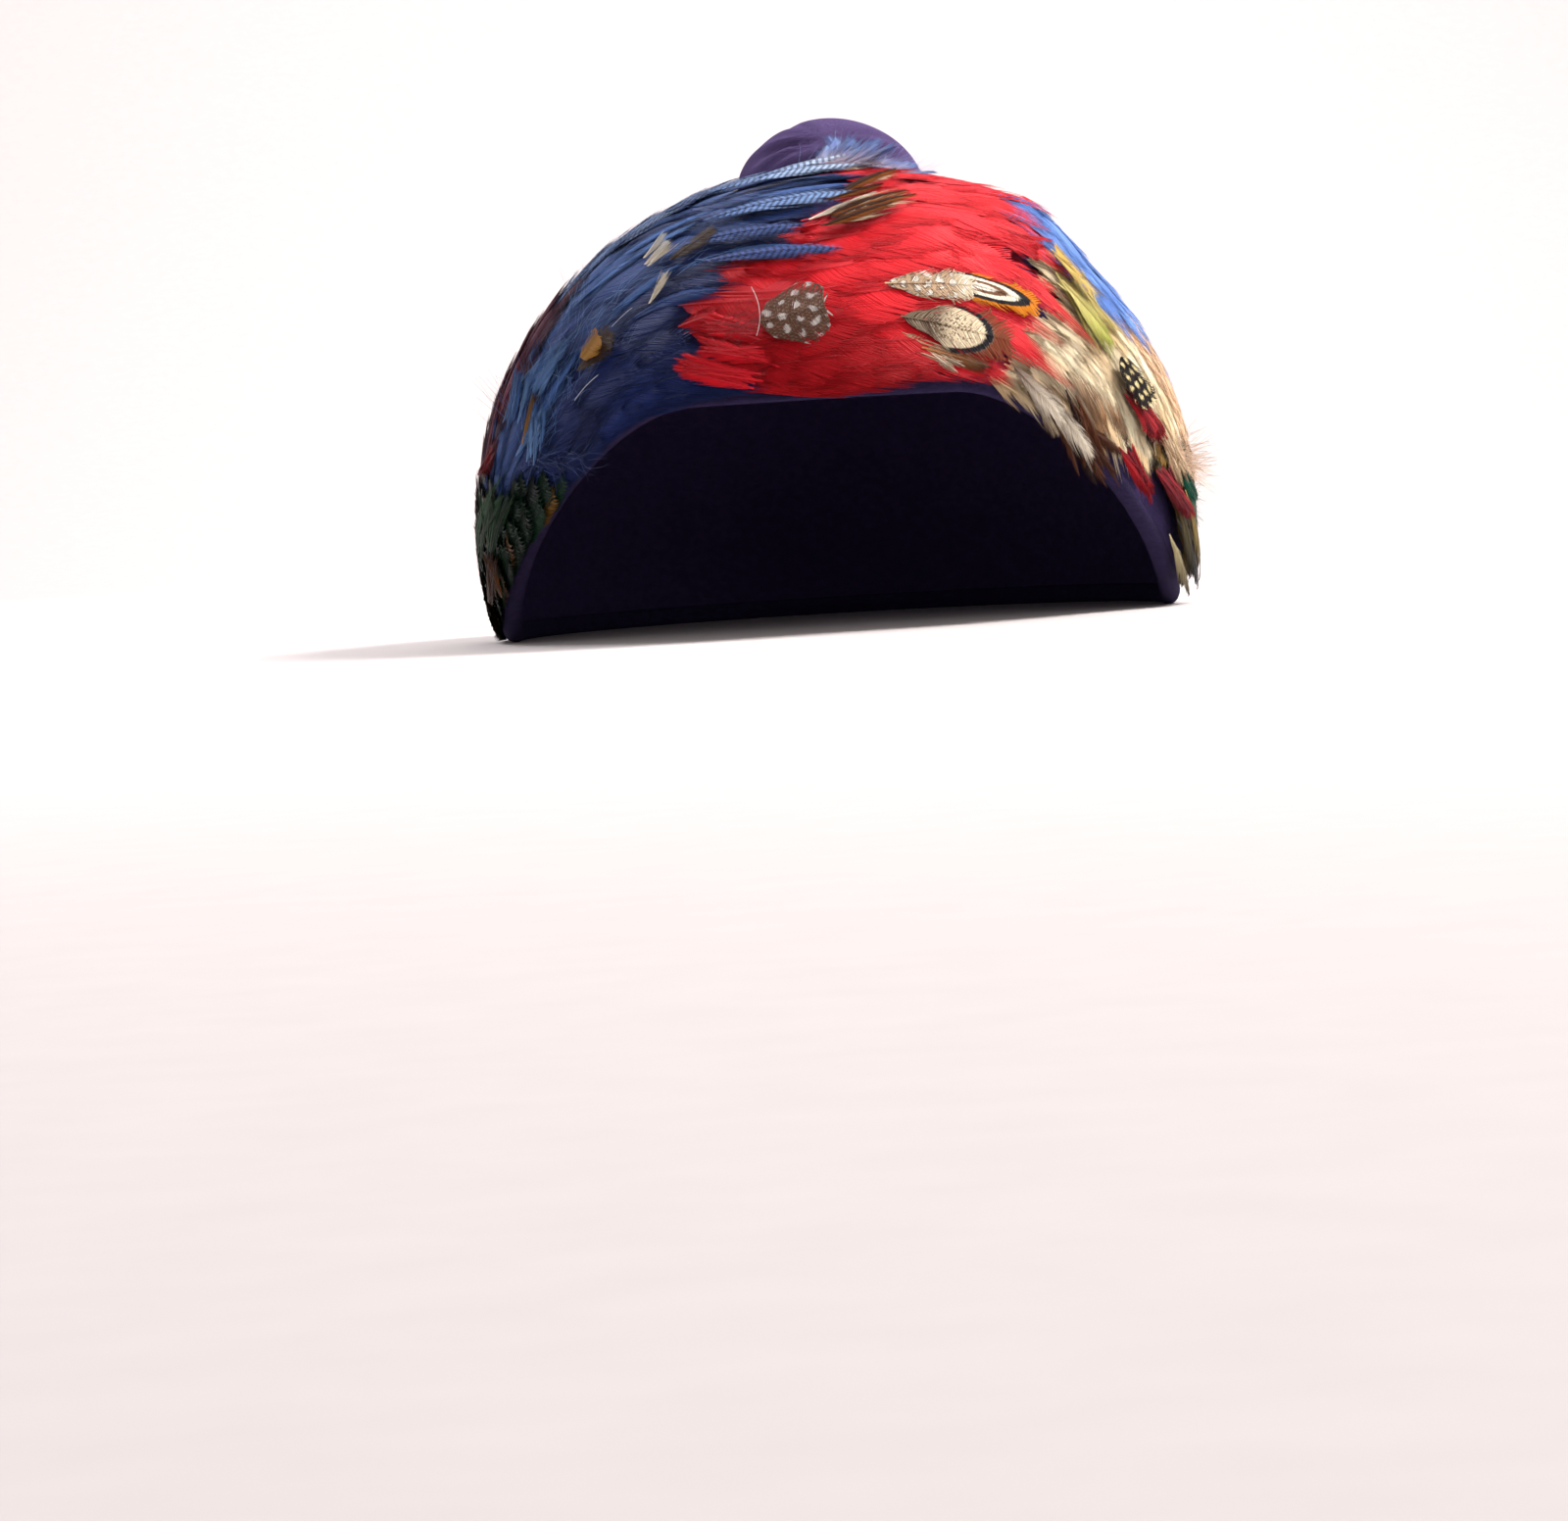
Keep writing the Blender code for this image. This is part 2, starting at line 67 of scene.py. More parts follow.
# %% Form of the cap
HALF = np.array([0.081, 0.091, 0.079])  # half its width, half its length, and its rise
SHELL_BACK = 0.0908  # from the centre to the back of the CAD shell
CENTRE = np.array([0.0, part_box("velvet_shell")[1][1] - SHELL_BACK, 0.024])
WALL = 0.002
ARCH = 0.050  # height of the front edge
ARCH_END, ARCH_SLOPE = math.radians(85), math.radians(63)
BINDING = 0.0045  # height of the bound edge


def lifted(direction, lift):
    """Points over the velvet. Both arguments may be arrays."""
    return CENTRE + (HALF + np.asarray(lift)[..., None]) * direction


def band(turn, latitude):
    """Direction for two angles of the band."""
    turn, latitude = np.asarray(turn, float), np.asarray(latitude, float)
    level = np.cos(latitude)
    return np.stack([np.sin(turn) * level, -np.sin(latitude), np.cos(turn) * level], -1)


def ease(share):
    """From 0 to 1 with a soft start and end."""
    share = np.clip(share, 0, 1)
    return share * share * (3 - 2 * share)


def edge_height(heading):
    """Height of the cap's edge. Heading is 0 at the forehead."""
    heading = np.abs((heading + math.pi) % (2 * math.pi) - math.pi)
    return ARCH * ease((ARCH_END - heading) / ARCH_SLOPE)


print("Centre of the cap's form in mm:", np.round(CENTRE * 1000, 2))

# %% [markdown]
# ## The camera
#
# The photograph was taken from the front with a long lens, a little below the hat. The hat
# leans to one side in it. We turn the camera instead of the hat, so the hat rests on the floor.

# %% Where the camera looks
PICTURE, SENSOR = (1600, 1552), 36.0
FOCAL = 4350.0  # in pixels of the picture
LEAN = math.radians(3.4)
DISTANCE, SIDE = 1.0, math.radians(1.0)
EYE_HEIGHT = 0.027
HAT_PIXEL = (853, 530)  # where the centre of the cap's form lies in the picture


def offsets(across, down):
    """Pixels to the right of and above the middle of the picture."""
    return across - PICTURE[0] / 2, PICTURE[1] / 2 - down


camera_place = Vector((math.sin(SIDE) * DISTANCE, -math.cos(SIDE) * DISTANCE, EYE_HEIGHT))
gaze = (Vector(CENTRE) - camera_place).normalized()
level_right = gaze.cross(Vector((0, 0, 1))).normalized()
level_up = level_right.cross(gaze)
right = level_right * math.cos(LEAN) - level_up * math.sin(LEAN)
up = level_up * math.cos(LEAN) + level_right * math.sin(LEAN)
hat_right, hat_up = offsets(*HAT_PIXEL)
wanted = (right * hat_right + up * hat_up + gaze * FOCAL).normalized()
swing = wanted.rotation_difference(gaze)
right, up, gaze = swing @ right, swing @ up, swing @ gaze
print("The camera looks along", np.round(gaze, 3))

# %% Camera
camera = bpy.data.objects.new("camera", bpy.data.cameras.new("camera"))
bpy.context.scene.collection.objects.link(camera)
camera.data.sensor_width = SENSOR
camera.data.lens = FOCAL / PICTURE[0] * SENSOR
camera.data.clip_start = 0.01
camera.rotation_mode = "QUATERNION"
camera.location = camera_place
camera.rotation_quaternion = Matrix(np.array([right, up, -gaze]).T.tolist()).to_quaternion()
bpy.context.scene.camera = camera
print("Camera", round(camera_place.z * 1000), "mm above the floor, lens",
      round(camera.data.lens), "mm")

# %% [markdown]
# Many feathers have to lie where the photograph shows them. So we also go back from the picture
# to the hat: the ray through a pixel meets the cap's form at one place, which we keep as a
# direction.

# %% From the picture to the cap
def seen_at(across, down, lift=0.003):
    """Direction on the cap under a pixel of the photograph."""
    pixels_right, pixels_up = offsets(across, down)
    ray = np.array(right * pixels_right + up * pixels_up + gaze * FOCAL)
    start = (np.array(camera_place) - CENTRE) / (HALF + lift)
    step = ray / (HALF + lift)
    a, b, c = step @ step, 2 * start @ step, start @ start - 1
    inside = max(b * b - 4 * a * c, 0.0)
    point = start + step * (-b - math.sqrt(inside)) / (2 * a)
    return point / np.linalg.norm(point)


def angles_of(direction):
    """Turn and latitude of a direction."""
    return math.atan2(direction[0], direction[2]), -math.asin(direction[1])


print("The guinea feather lies at", np.degrees(angles_of(seen_at(812, 327))).round(), "degrees")

# %% [markdown]
# ## Maths with sockets
#
# A feather's bars and spots are formulas. Written as nodes they are hard to read, so a small
# class lets us write them as Python: each operator adds one Math node.

# %% Sockets that can be added and multiplied
class Wire:
    """A node's output that works in sums."""

    def __init__(self, socket):
        self.socket = socket

    def maths(self, operation, *values):
        tree = self.socket.id_data
        node = tree.nodes.new("ShaderNodeMath")
        node.operation = operation
        for slot, value in zip(node.inputs, values):
            plug(tree, slot, value)
        return Wire(node.outputs[0])

    def __add__(self, other):
        return self.maths("ADD", self, other)

    def __sub__(self, other):
        return self.maths("SUBTRACT", self, other)

    def __rsub__(self, other):
        return self.maths("SUBTRACT", other, self)

    def __mul__(self, other):
        return self.maths("MULTIPLY", self, other)

    def __truediv__(self, other):
        return self.maths("DIVIDE", self, other)

    def __rtruediv__(self, other):
        return self.maths("DIVIDE", other, self)

    def __pow__(self, other):
        return self.maths("POWER", self, other)

    def __abs__(self):
        return self.maths("ABSOLUTE", self)

    __radd__ = __add__
    __rmul__ = __mul__

    def wave(self):
        return self.maths("SINE", self)

    def whole(self):
        return self.maths("FLOOR", self)

    def least(self, other):
        return self.maths("MINIMUM", self, other)

    def most(self, other):
        return self.maths("MAXIMUM", self, other)

    def over(self, low, high):
        """0 below low and 1 above high, with a soft step. High may be the lower one."""
        share = (self - low) / (high - low)
        share = share.most(0.0).least(1.0)
        return share * share * (3.0 - 2.0 * share)


def plug(tree, slot, value):
    """Link a wire to a node's input, or set the input to a value."""
    if isinstance(value, Wire):
        tree.links.new(value.socket, slot)
    elif isinstance(value, tuple) and len(value) == 3 and slot.type == "RGBA":
        slot.default_value = (*value, 1)
    else:
        slot.default_value = value


# %% [markdown]
# A finish is a material with a Principled shader. Constant values go straight on the shader's
# sockets. Whatever varies over the surface comes from nodes, which one method adds.

# %% Finishes
class Finish:
    """A material, its nodes and its shader."""

    def __init__(self, name, **sockets):
        self.material = bpy.data.materials.new(name)
        self.material.use_nodes = True
        self.tree = self.material.node_tree
        self.shader = self.tree.nodes["Principled BSDF"]
        self.set(**sockets)

    def set(self, **sockets):
        for name, value in sockets.items():
            plug(self.tree, self.shader.inputs[name.replace("_", " ")], value)

    def node(self, kind, settings=None, sockets=None):
        """A new node's outputs as wires. Its settings are set before its sockets."""
        node = self.tree.nodes.new(kind)
        for name, value in (settings or {}).items():
            setattr(node, name, value)
        for name, value in (sockets or {}).items():
            plug(self.tree, node.inputs[name], value)
        return [Wire(output) for output in node.outputs]

    def mix(self, share, low, high, blend="MIX"):
        """One colour where share is 0 and another where it is 1."""
        settings = {"data_type": "RGBA", "blend_type": blend}
        return self.node("ShaderNodeMix", settings, {0: share, 6: low, 7: high})[2]

    def bump(self, height, depth):
        normal = self.node("ShaderNodeBump", {}, {"Height": height, "Distance": depth})[0]
        self.set(Normal=normal)

    def noise(self, scale, vector=None, detail=2.0):
        sockets = {"Scale": scale, "Detail": detail}
        if vector:
            sockets["Vector"] = vector
        return self.node("ShaderNodeTexNoise", {}, sockets)[0]


# %% [markdown]
# ## Velvet
#
# Velvet is a cloth with a short dense pile. It looks darkest where we look straight at it and
# lighter at its edges, because the tips of the pile catch the light. The Principled shader's
# sheen does this. The pile also leans this way and that in patches, so the colour varies.

# %% Velvet finishes
def velvet(name, deep, pale, sheen):
    finish = Finish(name, Roughness=0.9, Sheen_Weight=sheen, Sheen_Roughness=0.4,
                    Specular_IOR_Level=0.1)
    finish.shader.inputs["Sheen Tint"].default_value = (0.50, 0.40, 0.95, 1)
    nap = finish.noise(70.0, detail=4.0).over(0.35, 0.65)
    pile = finish.noise(2400.0, detail=1.0)
    finish.set(Base_Color=finish.mix(nap * 0.7 + pile * 0.3, deep, pale))
    finish.bump(pile + nap * 0.5, 0.0003)
    return finish


cap_velvet = velvet("purple_velvet", (0.016, 0.010, 0.055), (0.030, 0.017, 0.085), 0.25)
# Painted light: the knot is the cap's velvet in a lighter copy, for the strong light from behind
# it.
knot_velvet_painted_light = velvet("knot_velvet_painted_light", (0.036, 0.013, 0.060), (0.060, 0.023, 0.098), 0.55)
# Painted shade: the binding is the cap's velvet in a darker copy, for the shade that it lies in.
binding_velvet_painted_shade = velvet("binding_velvet_painted_shade", (0.011, 0.007, 0.034), (0.022, 0.013, 0.058), 0.15)
lining = velvet("dark_lining", (0.040, 0.026, 0.095), (0.060, 0.038, 0.130), 0.15)
print("Velvets:", cap_velvet.material.name, knot_velvet_painted_light.material.name)


# %% [markdown]
# The shell of the cap is one skin outside, and one inside at the thickness of the velvet with
# its stiff base. Both come from the formula of the cap, ring by ring up to the crown. The CAD
# shell has flat facets, so this smooth one takes its place.

# %% Faces and pieces
def grid_faces(rows, columns):
    """Faces between rows of points. Each row joins its last point to its first."""
    row = np.arange(rows - 1)[:, None] * columns
    column = np.arange(columns)[None]
    after = (column + 1) % columns
    faces = np.stack([row + column, row + after, row + columns + after, row + columns + column],
                     -1)
    return faces.reshape(-1, 4)


def new_piece(name, points, faces, *finishes):
    """A smooth mesh in the scene."""
    mesh = bpy.data.meshes.new(name)
    mesh.from_pydata(np.asarray(points).tolist(), [], [list(face) for face in faces])
    mesh.shade_smooth()
    for finish in finishes:
        mesh.materials.append(finish.material)
    piece = bpy.data.objects.new(name, mesh)
    bpy.context.scene.collection.objects.link(piece)
    return piece


# %% Skins of the shell
SHELL_RINGS, SHELL_SIDES = 44, 192
CROWN_HOLE = 0.005  # share of the way that a flat face closes at the crown


def shell_skin(lift):
    """Points ring by ring, from the middle of the binding's height up to the crown."""
    heading = np.linspace(0, 2 * math.pi, SHELL_SIDES, endpoint=False)
    foot = edge_height(heading) + BINDING * 0.5
    polar = np.arccos((foot - CENTRE[2]) / (HALF[2] + lift))
    polar = (1 - np.linspace(0, 1 - CROWN_HOLE, SHELL_RINGS))[:, None] * polar[None]
    way = np.stack([np.sin(polar) * np.sin(heading), -np.sin(polar) * np.cos(heading),
                    np.cos(polar)], -1)
    return (CENTRE + (HALF + lift) * way).reshape(-1, 3)


outer, inner = shell_skin(0.0), shell_skin(-WALL)
print("Each skin has", len(outer), "points")

# %% Shell
start = len(outer)
skin = grid_faces(SHELL_RINGS, SHELL_SIDES)
edge = np.arange(SHELL_SIDES)
after = (edge + 1) % SHELL_SIDES
lip = np.stack([start + edge, start + after, after, edge], -1)
top = np.arange(start - SHELL_SIDES, start)
outside = [*skin.tolist(), top.tolist(), *lip.tolist()]
inside = [*(skin[:, ::-1] + start).tolist(), (top[::-1] + start).tolist()]
shell = new_piece("velvet_cap", np.concatenate([outer, inner]), outside + inside, cap_velvet,
                  lining)
shell.data.polygons.foreach_set("material_index", [0] * len(outside) + [1] * len(inside))
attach(shell, "root")
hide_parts("velvet_shell")
print("Shell:", len(shell.data.polygons), "faces")

# %% [markdown]
# The edge is bound with a strip of the same velvet, folded round it and sewn inside. We carry a
# soft rounded section round the edge, with small uneven swellings as a hand-sewn binding has.

# %% Binding
BINDING_HALF = 0.0020  # half its thickness
SQUARENESS = 0.72  # 1 is an oval section, and less is squarer


def at_height(heading, height, lift):
    """Points on the cap at a heading and a height over the floor."""
    heading, height, lift = np.broadcast_arrays(heading, height, lift)
    rise = (height - CENTRE[2]) / (HALF[2] + lift)
    level = np.sqrt(np.clip(1 - rise ** 2, 0, 1))
    way = np.stack([level * np.sin(heading), -level * np.cos(heading), rise], -1)
    return CENTRE + (HALF + lift[..., None]) * way


def binding_points(sides=288, around=14):
    heading = np.linspace(0, 2 * math.pi, sides, endpoint=False)[:, None]
    angle = np.linspace(0, 2 * math.pi, around, endpoint=False)[None]
    out = np.sign(np.cos(angle)) * abs(np.cos(angle)) ** SQUARENESS * BINDING_HALF
    up_by = np.sign(np.sin(angle)) * abs(np.sin(angle)) ** SQUARENESS * BINDING / 2
    puff = 1 + 0.03 * np.sin(heading * 67) * np.sin(heading * 23 + 1)
    height = edge_height(heading) + BINDING / 2 + up_by
    return at_height(heading, height, out * puff - WALL / 2)


rows = binding_points()
faces = grid_faces(len(rows) + 1, rows.shape[1]) % (rows.shape[0] * rows.shape[1])
# The binding takes the darker copy of the velvet, as painted shade.
binding = new_piece("velvet_binding", rows.reshape(-1, 3), faces[:, ::-1], binding_velvet_painted_shade)
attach(binding, "root")
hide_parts("rim_binding")
print("Binding:", len(faces), "faces")

# %% [markdown]
# The knot is a round of velvet gathered over a wad, so it is a plump dome with a few folds that
# meet at its front. The folds are soft valleys that run out from one point. Cloth simulation
# could make them too, but here the photograph shows where each fold lies, so a formula is
# closer.

# %% Folds of the knot
FOLD_SOURCE = -0.86  # where they meet, in radii of the knot behind its middle
FOLDS = (  # angle in degrees seen from where the folds meet, depth, width in degrees
    (168, 0.0016, 5), (150, 0.0036, 7), (133, 0.0014, 5), (118, 0.0009, 5), (40, 0.0008, 5),
    (20, 0.0018, 8),
)


def fold_depth(right, back):
    """Depth of the folds at a place, given in radii of the knot."""
    away = np.hypot(right, back - FOLD_SOURCE)
    angle = np.degrees(np.arctan2(back - FOLD_SOURCE, right))
    reach = ease(away / 0.35) * ease((1.25 - away) / 0.75)
    return reach * sum(depth * np.exp(-(((angle - at) / width) ** 2))
                       for at, depth, width in FOLDS)


print("The deepest fold is", max(depth for _, depth, _ in FOLDS) * 1000, "mm deep")

# %% Knot
KNOT_RADIUS, KNOT_RISE = 0.0215, 0.0150
KNOT_SIDE, KNOT_BACK = 0.003, 0.010  # of its middle from the crown
SLOPE = 1.12  # 1 is a half ball, and more lets its sides slope inwards


def knot_place(right, back, lift):
    flat = np.stack([(KNOT_SIDE + KNOT_RADIUS * right) / HALF[0],
                     (KNOT_BACK + KNOT_RADIUS * back) / HALF[1]], -1)
    rise = np.sqrt(1 - (flat ** 2).sum(-1))
    return lifted(np.concatenate([flat, rise[..., None]], -1), lift)


def knot_rows(rings=30, sides=120):
    rise = np.linspace(0, 0.985, rings)[:, None] * math.pi / 2
    angle = np.linspace(0, 2 * math.pi, sides, endpoint=False)[None]
    reach = np.cos(rise) ** SLOPE
    right, back = reach * np.cos(angle), reach * np.sin(angle)
    fold = fold_depth(right, back) * np.sin(rise)
    pull = 1 - fold / KNOT_RADIUS * np.cos(rise)
    height = KNOT_RISE * np.sin(rise) ** SLOPE
    return knot_place(right * pull, back * pull, 0.0004 + height - fold)


rows = knot_rows()
rings, sides = rows.shape[:2]
faces = [*grid_faces(rings, sides).tolist(), list(range((rings - 1) * sides, rings * sides)),
         list(range(sides))[::-1]]
knot = new_piece("velvet_knot", rows.reshape(-1, 3), faces, knot_velvet_painted_light)
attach(knot, "root")
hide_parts("crown_knot")
print("Knot:", len(faces), "faces,", round(np.ptp(rows[..., 2]) * 1000), "mm high")

# %% [markdown]
# ## What a feather is made of
#
# A feather is a stiff shaft with two rows of barbs, which lie side by side and make the vane.
# Light runs along the barbs, and that gives feathers their brushed shine. A flat leaf with a
# picture of a feather can't do that, so we build the barbs: each is a narrow strip that leaves
# the shaft, bends forwards and tapers. One edge of each strip lies a little higher than the
# other, and some barbs part from their neighbours.
#
# Each point keeps its place on the feather, across and along in millimetres, and its place in
# the row of barbs, for the patterns in the materials.

# %% Kinds of feathers
SECTIONS = np.array([0.0, 0.3, 0.65, 1.0])  # shares of a barb's length

KINDS = {
    # barbs on a side, how far they sweep forwards, bare share at the root, roundness of the tip,
    # how fine a barb ends, how far the barbs part
    "satin": {"barbs": 40, "sweep": 1.9, "bare": 0.04, "round": 0.75, "fine": 0.75, "part": 0.03},
    "body": {"barbs": 30, "sweep": 0.9, "bare": 0.03, "round": 1.0, "fine": 0.8, "part": 0.10},
    "hackle": {"barbs": 30, "sweep": 2.6, "bare": 0.05, "round": 0.25, "fine": 0.9, "part": 0.12},
    "round": {"barbs": 30, "sweep": 0.5, "bare": 0.0, "round": 1.2, "fine": 0.7, "part": 0.05},
    "scale": {"barbs": 14, "sweep": 0.8, "bare": 0.10, "round": 0.9, "fine": 0.7, "part": 0.05},
}


def vane_width(along, roundness):
    """Share of the widest half of a vane at a share of its length."""
    start = 0.75 if roundness > 1 else 0.35
    root = ease(along / 0.3) * (1 - start) + start
    power = 2.0 + 5.0 * roundness
    return root * np.clip(1 - along ** power, 0, 1) ** (0.55 + 0.6 * (1 - roundness)) + 0.03


print("Kinds:", ", ".join(KINDS))

# %% [markdown]
# Barbs, shafts and threads of down are all narrow strips, so one function makes strips from
# rows of points.

# %% Strips
def strips(centre, shift, ridge):
    """Points, faces and marks of narrow strips. Centre has a row of points for each strip.
    The marks are the strip's number, which rises by one across it, and the share along it."""
    rows, steps = centre.shape[:2]
    points = np.stack([centre - shift, centre + shift], 2).reshape(-1, 3)
    first = np.arange(rows)[:, None] * steps * 2 + np.arange(steps - 1)[None] * 2
    faces = np.stack([first, first + 1, first + 3, first + 2], -1).reshape(-1, 4)
    number = ridge[:, None, None] + np.zeros((1, steps, 1)) + np.array([0.0, 1.0])
    share = np.zeros((rows, 1, 1)) + np.linspace(0, 1, steps)[None, :, None] + np.zeros(2)
    return points, faces, np.stack([number.ravel(), share.ravel()], -1)


def joined(parts):
    """Several sets of points, faces and marks as one."""
    starts = np.cumsum([0] + [len(part[0]) for part in parts[:-1]])
    return (np.concatenate([part[0] for part in parts]),
            np.concatenate([part[1] + start for part, start in zip(parts, starts)]),
            np.concatenate([part[2] for part in parts]))


# %% One feather's barbs
REACH_LIMIT = 1.12  # a wide feather's barbs reach no further than this share of its length


def barbs(kind, length, half, random):
    """A feather in its own plane: points (along, across, lift), faces and marks."""
    rule = KINDS[kind]
    count = rule["barbs"]
    share = (np.arange(count) + 0.5) / count
    along = rule["bare"] + (1 - rule["bare"]) * share
    pitch = length * (1 - rule["bare"]) / count
    parts = []
    for hand in (-1, 1):
        clump = np.repeat(random.normal(0, 1, count // 3 + 1), 3)[:count]
        width = half * vane_width(along, rule["round"])
        width = width * (1 + rule["part"] * (random.normal(0, 0.5, count) + clump))
        reach = width * rule["sweep"] * (1 + 0.08 * clump) + 0.05 * length
        out = hand * width[:, None] * (1 - (1 - SECTIONS) ** 1.7)
        ahead = (along * length * 0.9)[:, None] + reach[:, None] * SECTIONS ** 1.2
        if rule["round"] >= 1:
            round_end = 0.72 + 0.28 * np.sqrt(np.clip(1 - (out / half) ** 2, 0, 1))
            ragged = 1 + random.normal(0, 0.02, count)[:, None]
            ahead = np.minimum(ahead, length * round_end * ragged)
        ahead *= min(1.0, REACH_LIMIT * length / ahead.max())
        curl = random.normal(0, 0.00015, count)[:, None] * SECTIONS ** 2
        centre = np.stack([ahead, out, curl], -1)
        taper = 1 - rule["fine"] * SECTIONS ** 1.5
        shift = np.zeros_like(centre)
        shift[..., 0] = pitch * 0.62 * taper
        shift[..., 2] = 0.00005 * taper
        parts.append(strips(centre, shift, np.arange(count) + 50.0 * (hand + 1)))
    shaft = np.zeros((1, 8, 3))
    shaft[0, :, 0] = np.linspace(0, length * 0.93, 8)
    shaft[0, :, 2] = 0.00022
    shift = np.zeros_like(shaft)
    shift[0, :, 1] = np.linspace(0.00026, 0.00006, 8)
    parts.append(strips(shaft, shift, np.array([-5.0])))
    return joined(parts)


sample = barbs("satin", 0.045, 0.008, np.random.default_rng(1))
print("A satin feather has", len(sample[0]), "points and", len(sample[1]), "faces")


# %% [markdown]
# ## Laying a feather on the cap
#
# The band isn't quite even. Feathers are heaped in some places, so a few soft swellings and
# hollows are added to their lift.

# %% Swellings of the band
RADIUS = 0.084  # of the cap under the feathers, on average
SWELLS = [  # pixel of the photograph, height, width
    (1048, 224, 0.0040, 0.013), (998, 262, -0.0024, 0.0055), (945, 240, 0.0014, 0.010),
    (640, 400, 0.0012, 0.014), (700, 320, 0.0012, 0.012), (1120, 400, 0.0012, 0.012),
]
SWELL_PLACES = np.array([seen_at(x, y) for x, y, _, _ in SWELLS])


def swell(way):
    """Extra lift where the feathers are heaped."""
    total = np.zeros(way.shape[:-1])
    for place, (_, _, height, width) in zip(SWELL_PLACES, SWELLS):
        away = np.linalg.norm((way - place) * RADIUS, axis=-1)
        total += height * np.exp(-((away / width) ** 2))
    return total


print("Lift under the highest heap:", round(swell(SWELL_PLACES[0]) * 1000, 1), "mm")

# %% [markdown]
# A feather lies along the cap's surface from where its root is stitched. Its root is low, and
# its tip lies on the feathers that it covers, so the lift grows from root to tip. Across, the
# vane is a little arched. Each vane also tilts, with its side towards the forehead a little
# higher, so it lies over the next lane as a shingle does.

# %% Laying a feather
def tangents(direction):
    """Unit vectors on the cap's surface: the way of rising turn, and to the forehead."""
    turn, latitude = angles_of(direction)
    along_turn = np.array([math.cos(turn), 0, -math.sin(turn)])
    to_front = np.array([-math.sin(turn) * math.sin(latitude), -math.cos(latitude),
                         -math.cos(turn) * math.sin(latitude)])
    return along_turn, to_front


def lay(flat, direction, heading, length, half, low, high, bend=0.0, camber=0.0004, tilt=0.0):
    """Points of a feather on the cap. Heading is in radians from the +turn way to the forehead."""
    along_turn, to_front = tangents(direction)
    ahead = along_turn * math.cos(heading) + to_front * math.sin(heading)
    aside = to_front * math.cos(heading) - along_turn * math.sin(heading)
    u, v, w = flat[:, 0], flat[:, 1], flat[:, 2]
    across = v + bend * length * (u / length) ** 2
    way = direction + (ahead * u[:, None] + aside * across[:, None]) / RADIUS
    way /= np.linalg.norm(way, axis=1)[:, None]
    share = np.clip(u / length, 0, 1.2)
    lift = low + (high - low) * share ** 1.2 + w - camber * (v / half) ** 2 + tilt * v
    return lifted(way, lift + swell(way))


# %% [markdown]
# A patch or a tuft holds many feathers, and each patch is one piece of the model. This class
# collects the feathers. It takes them by root and heading, by three directions that the shaft
# runs through, by two places of the photograph, or as a tuft of small ones. For every point it
# keeps the dye and a random number of its feather, which the finishes read.

# %% Collecting feathers
FLOOR_GAP = 0.0004


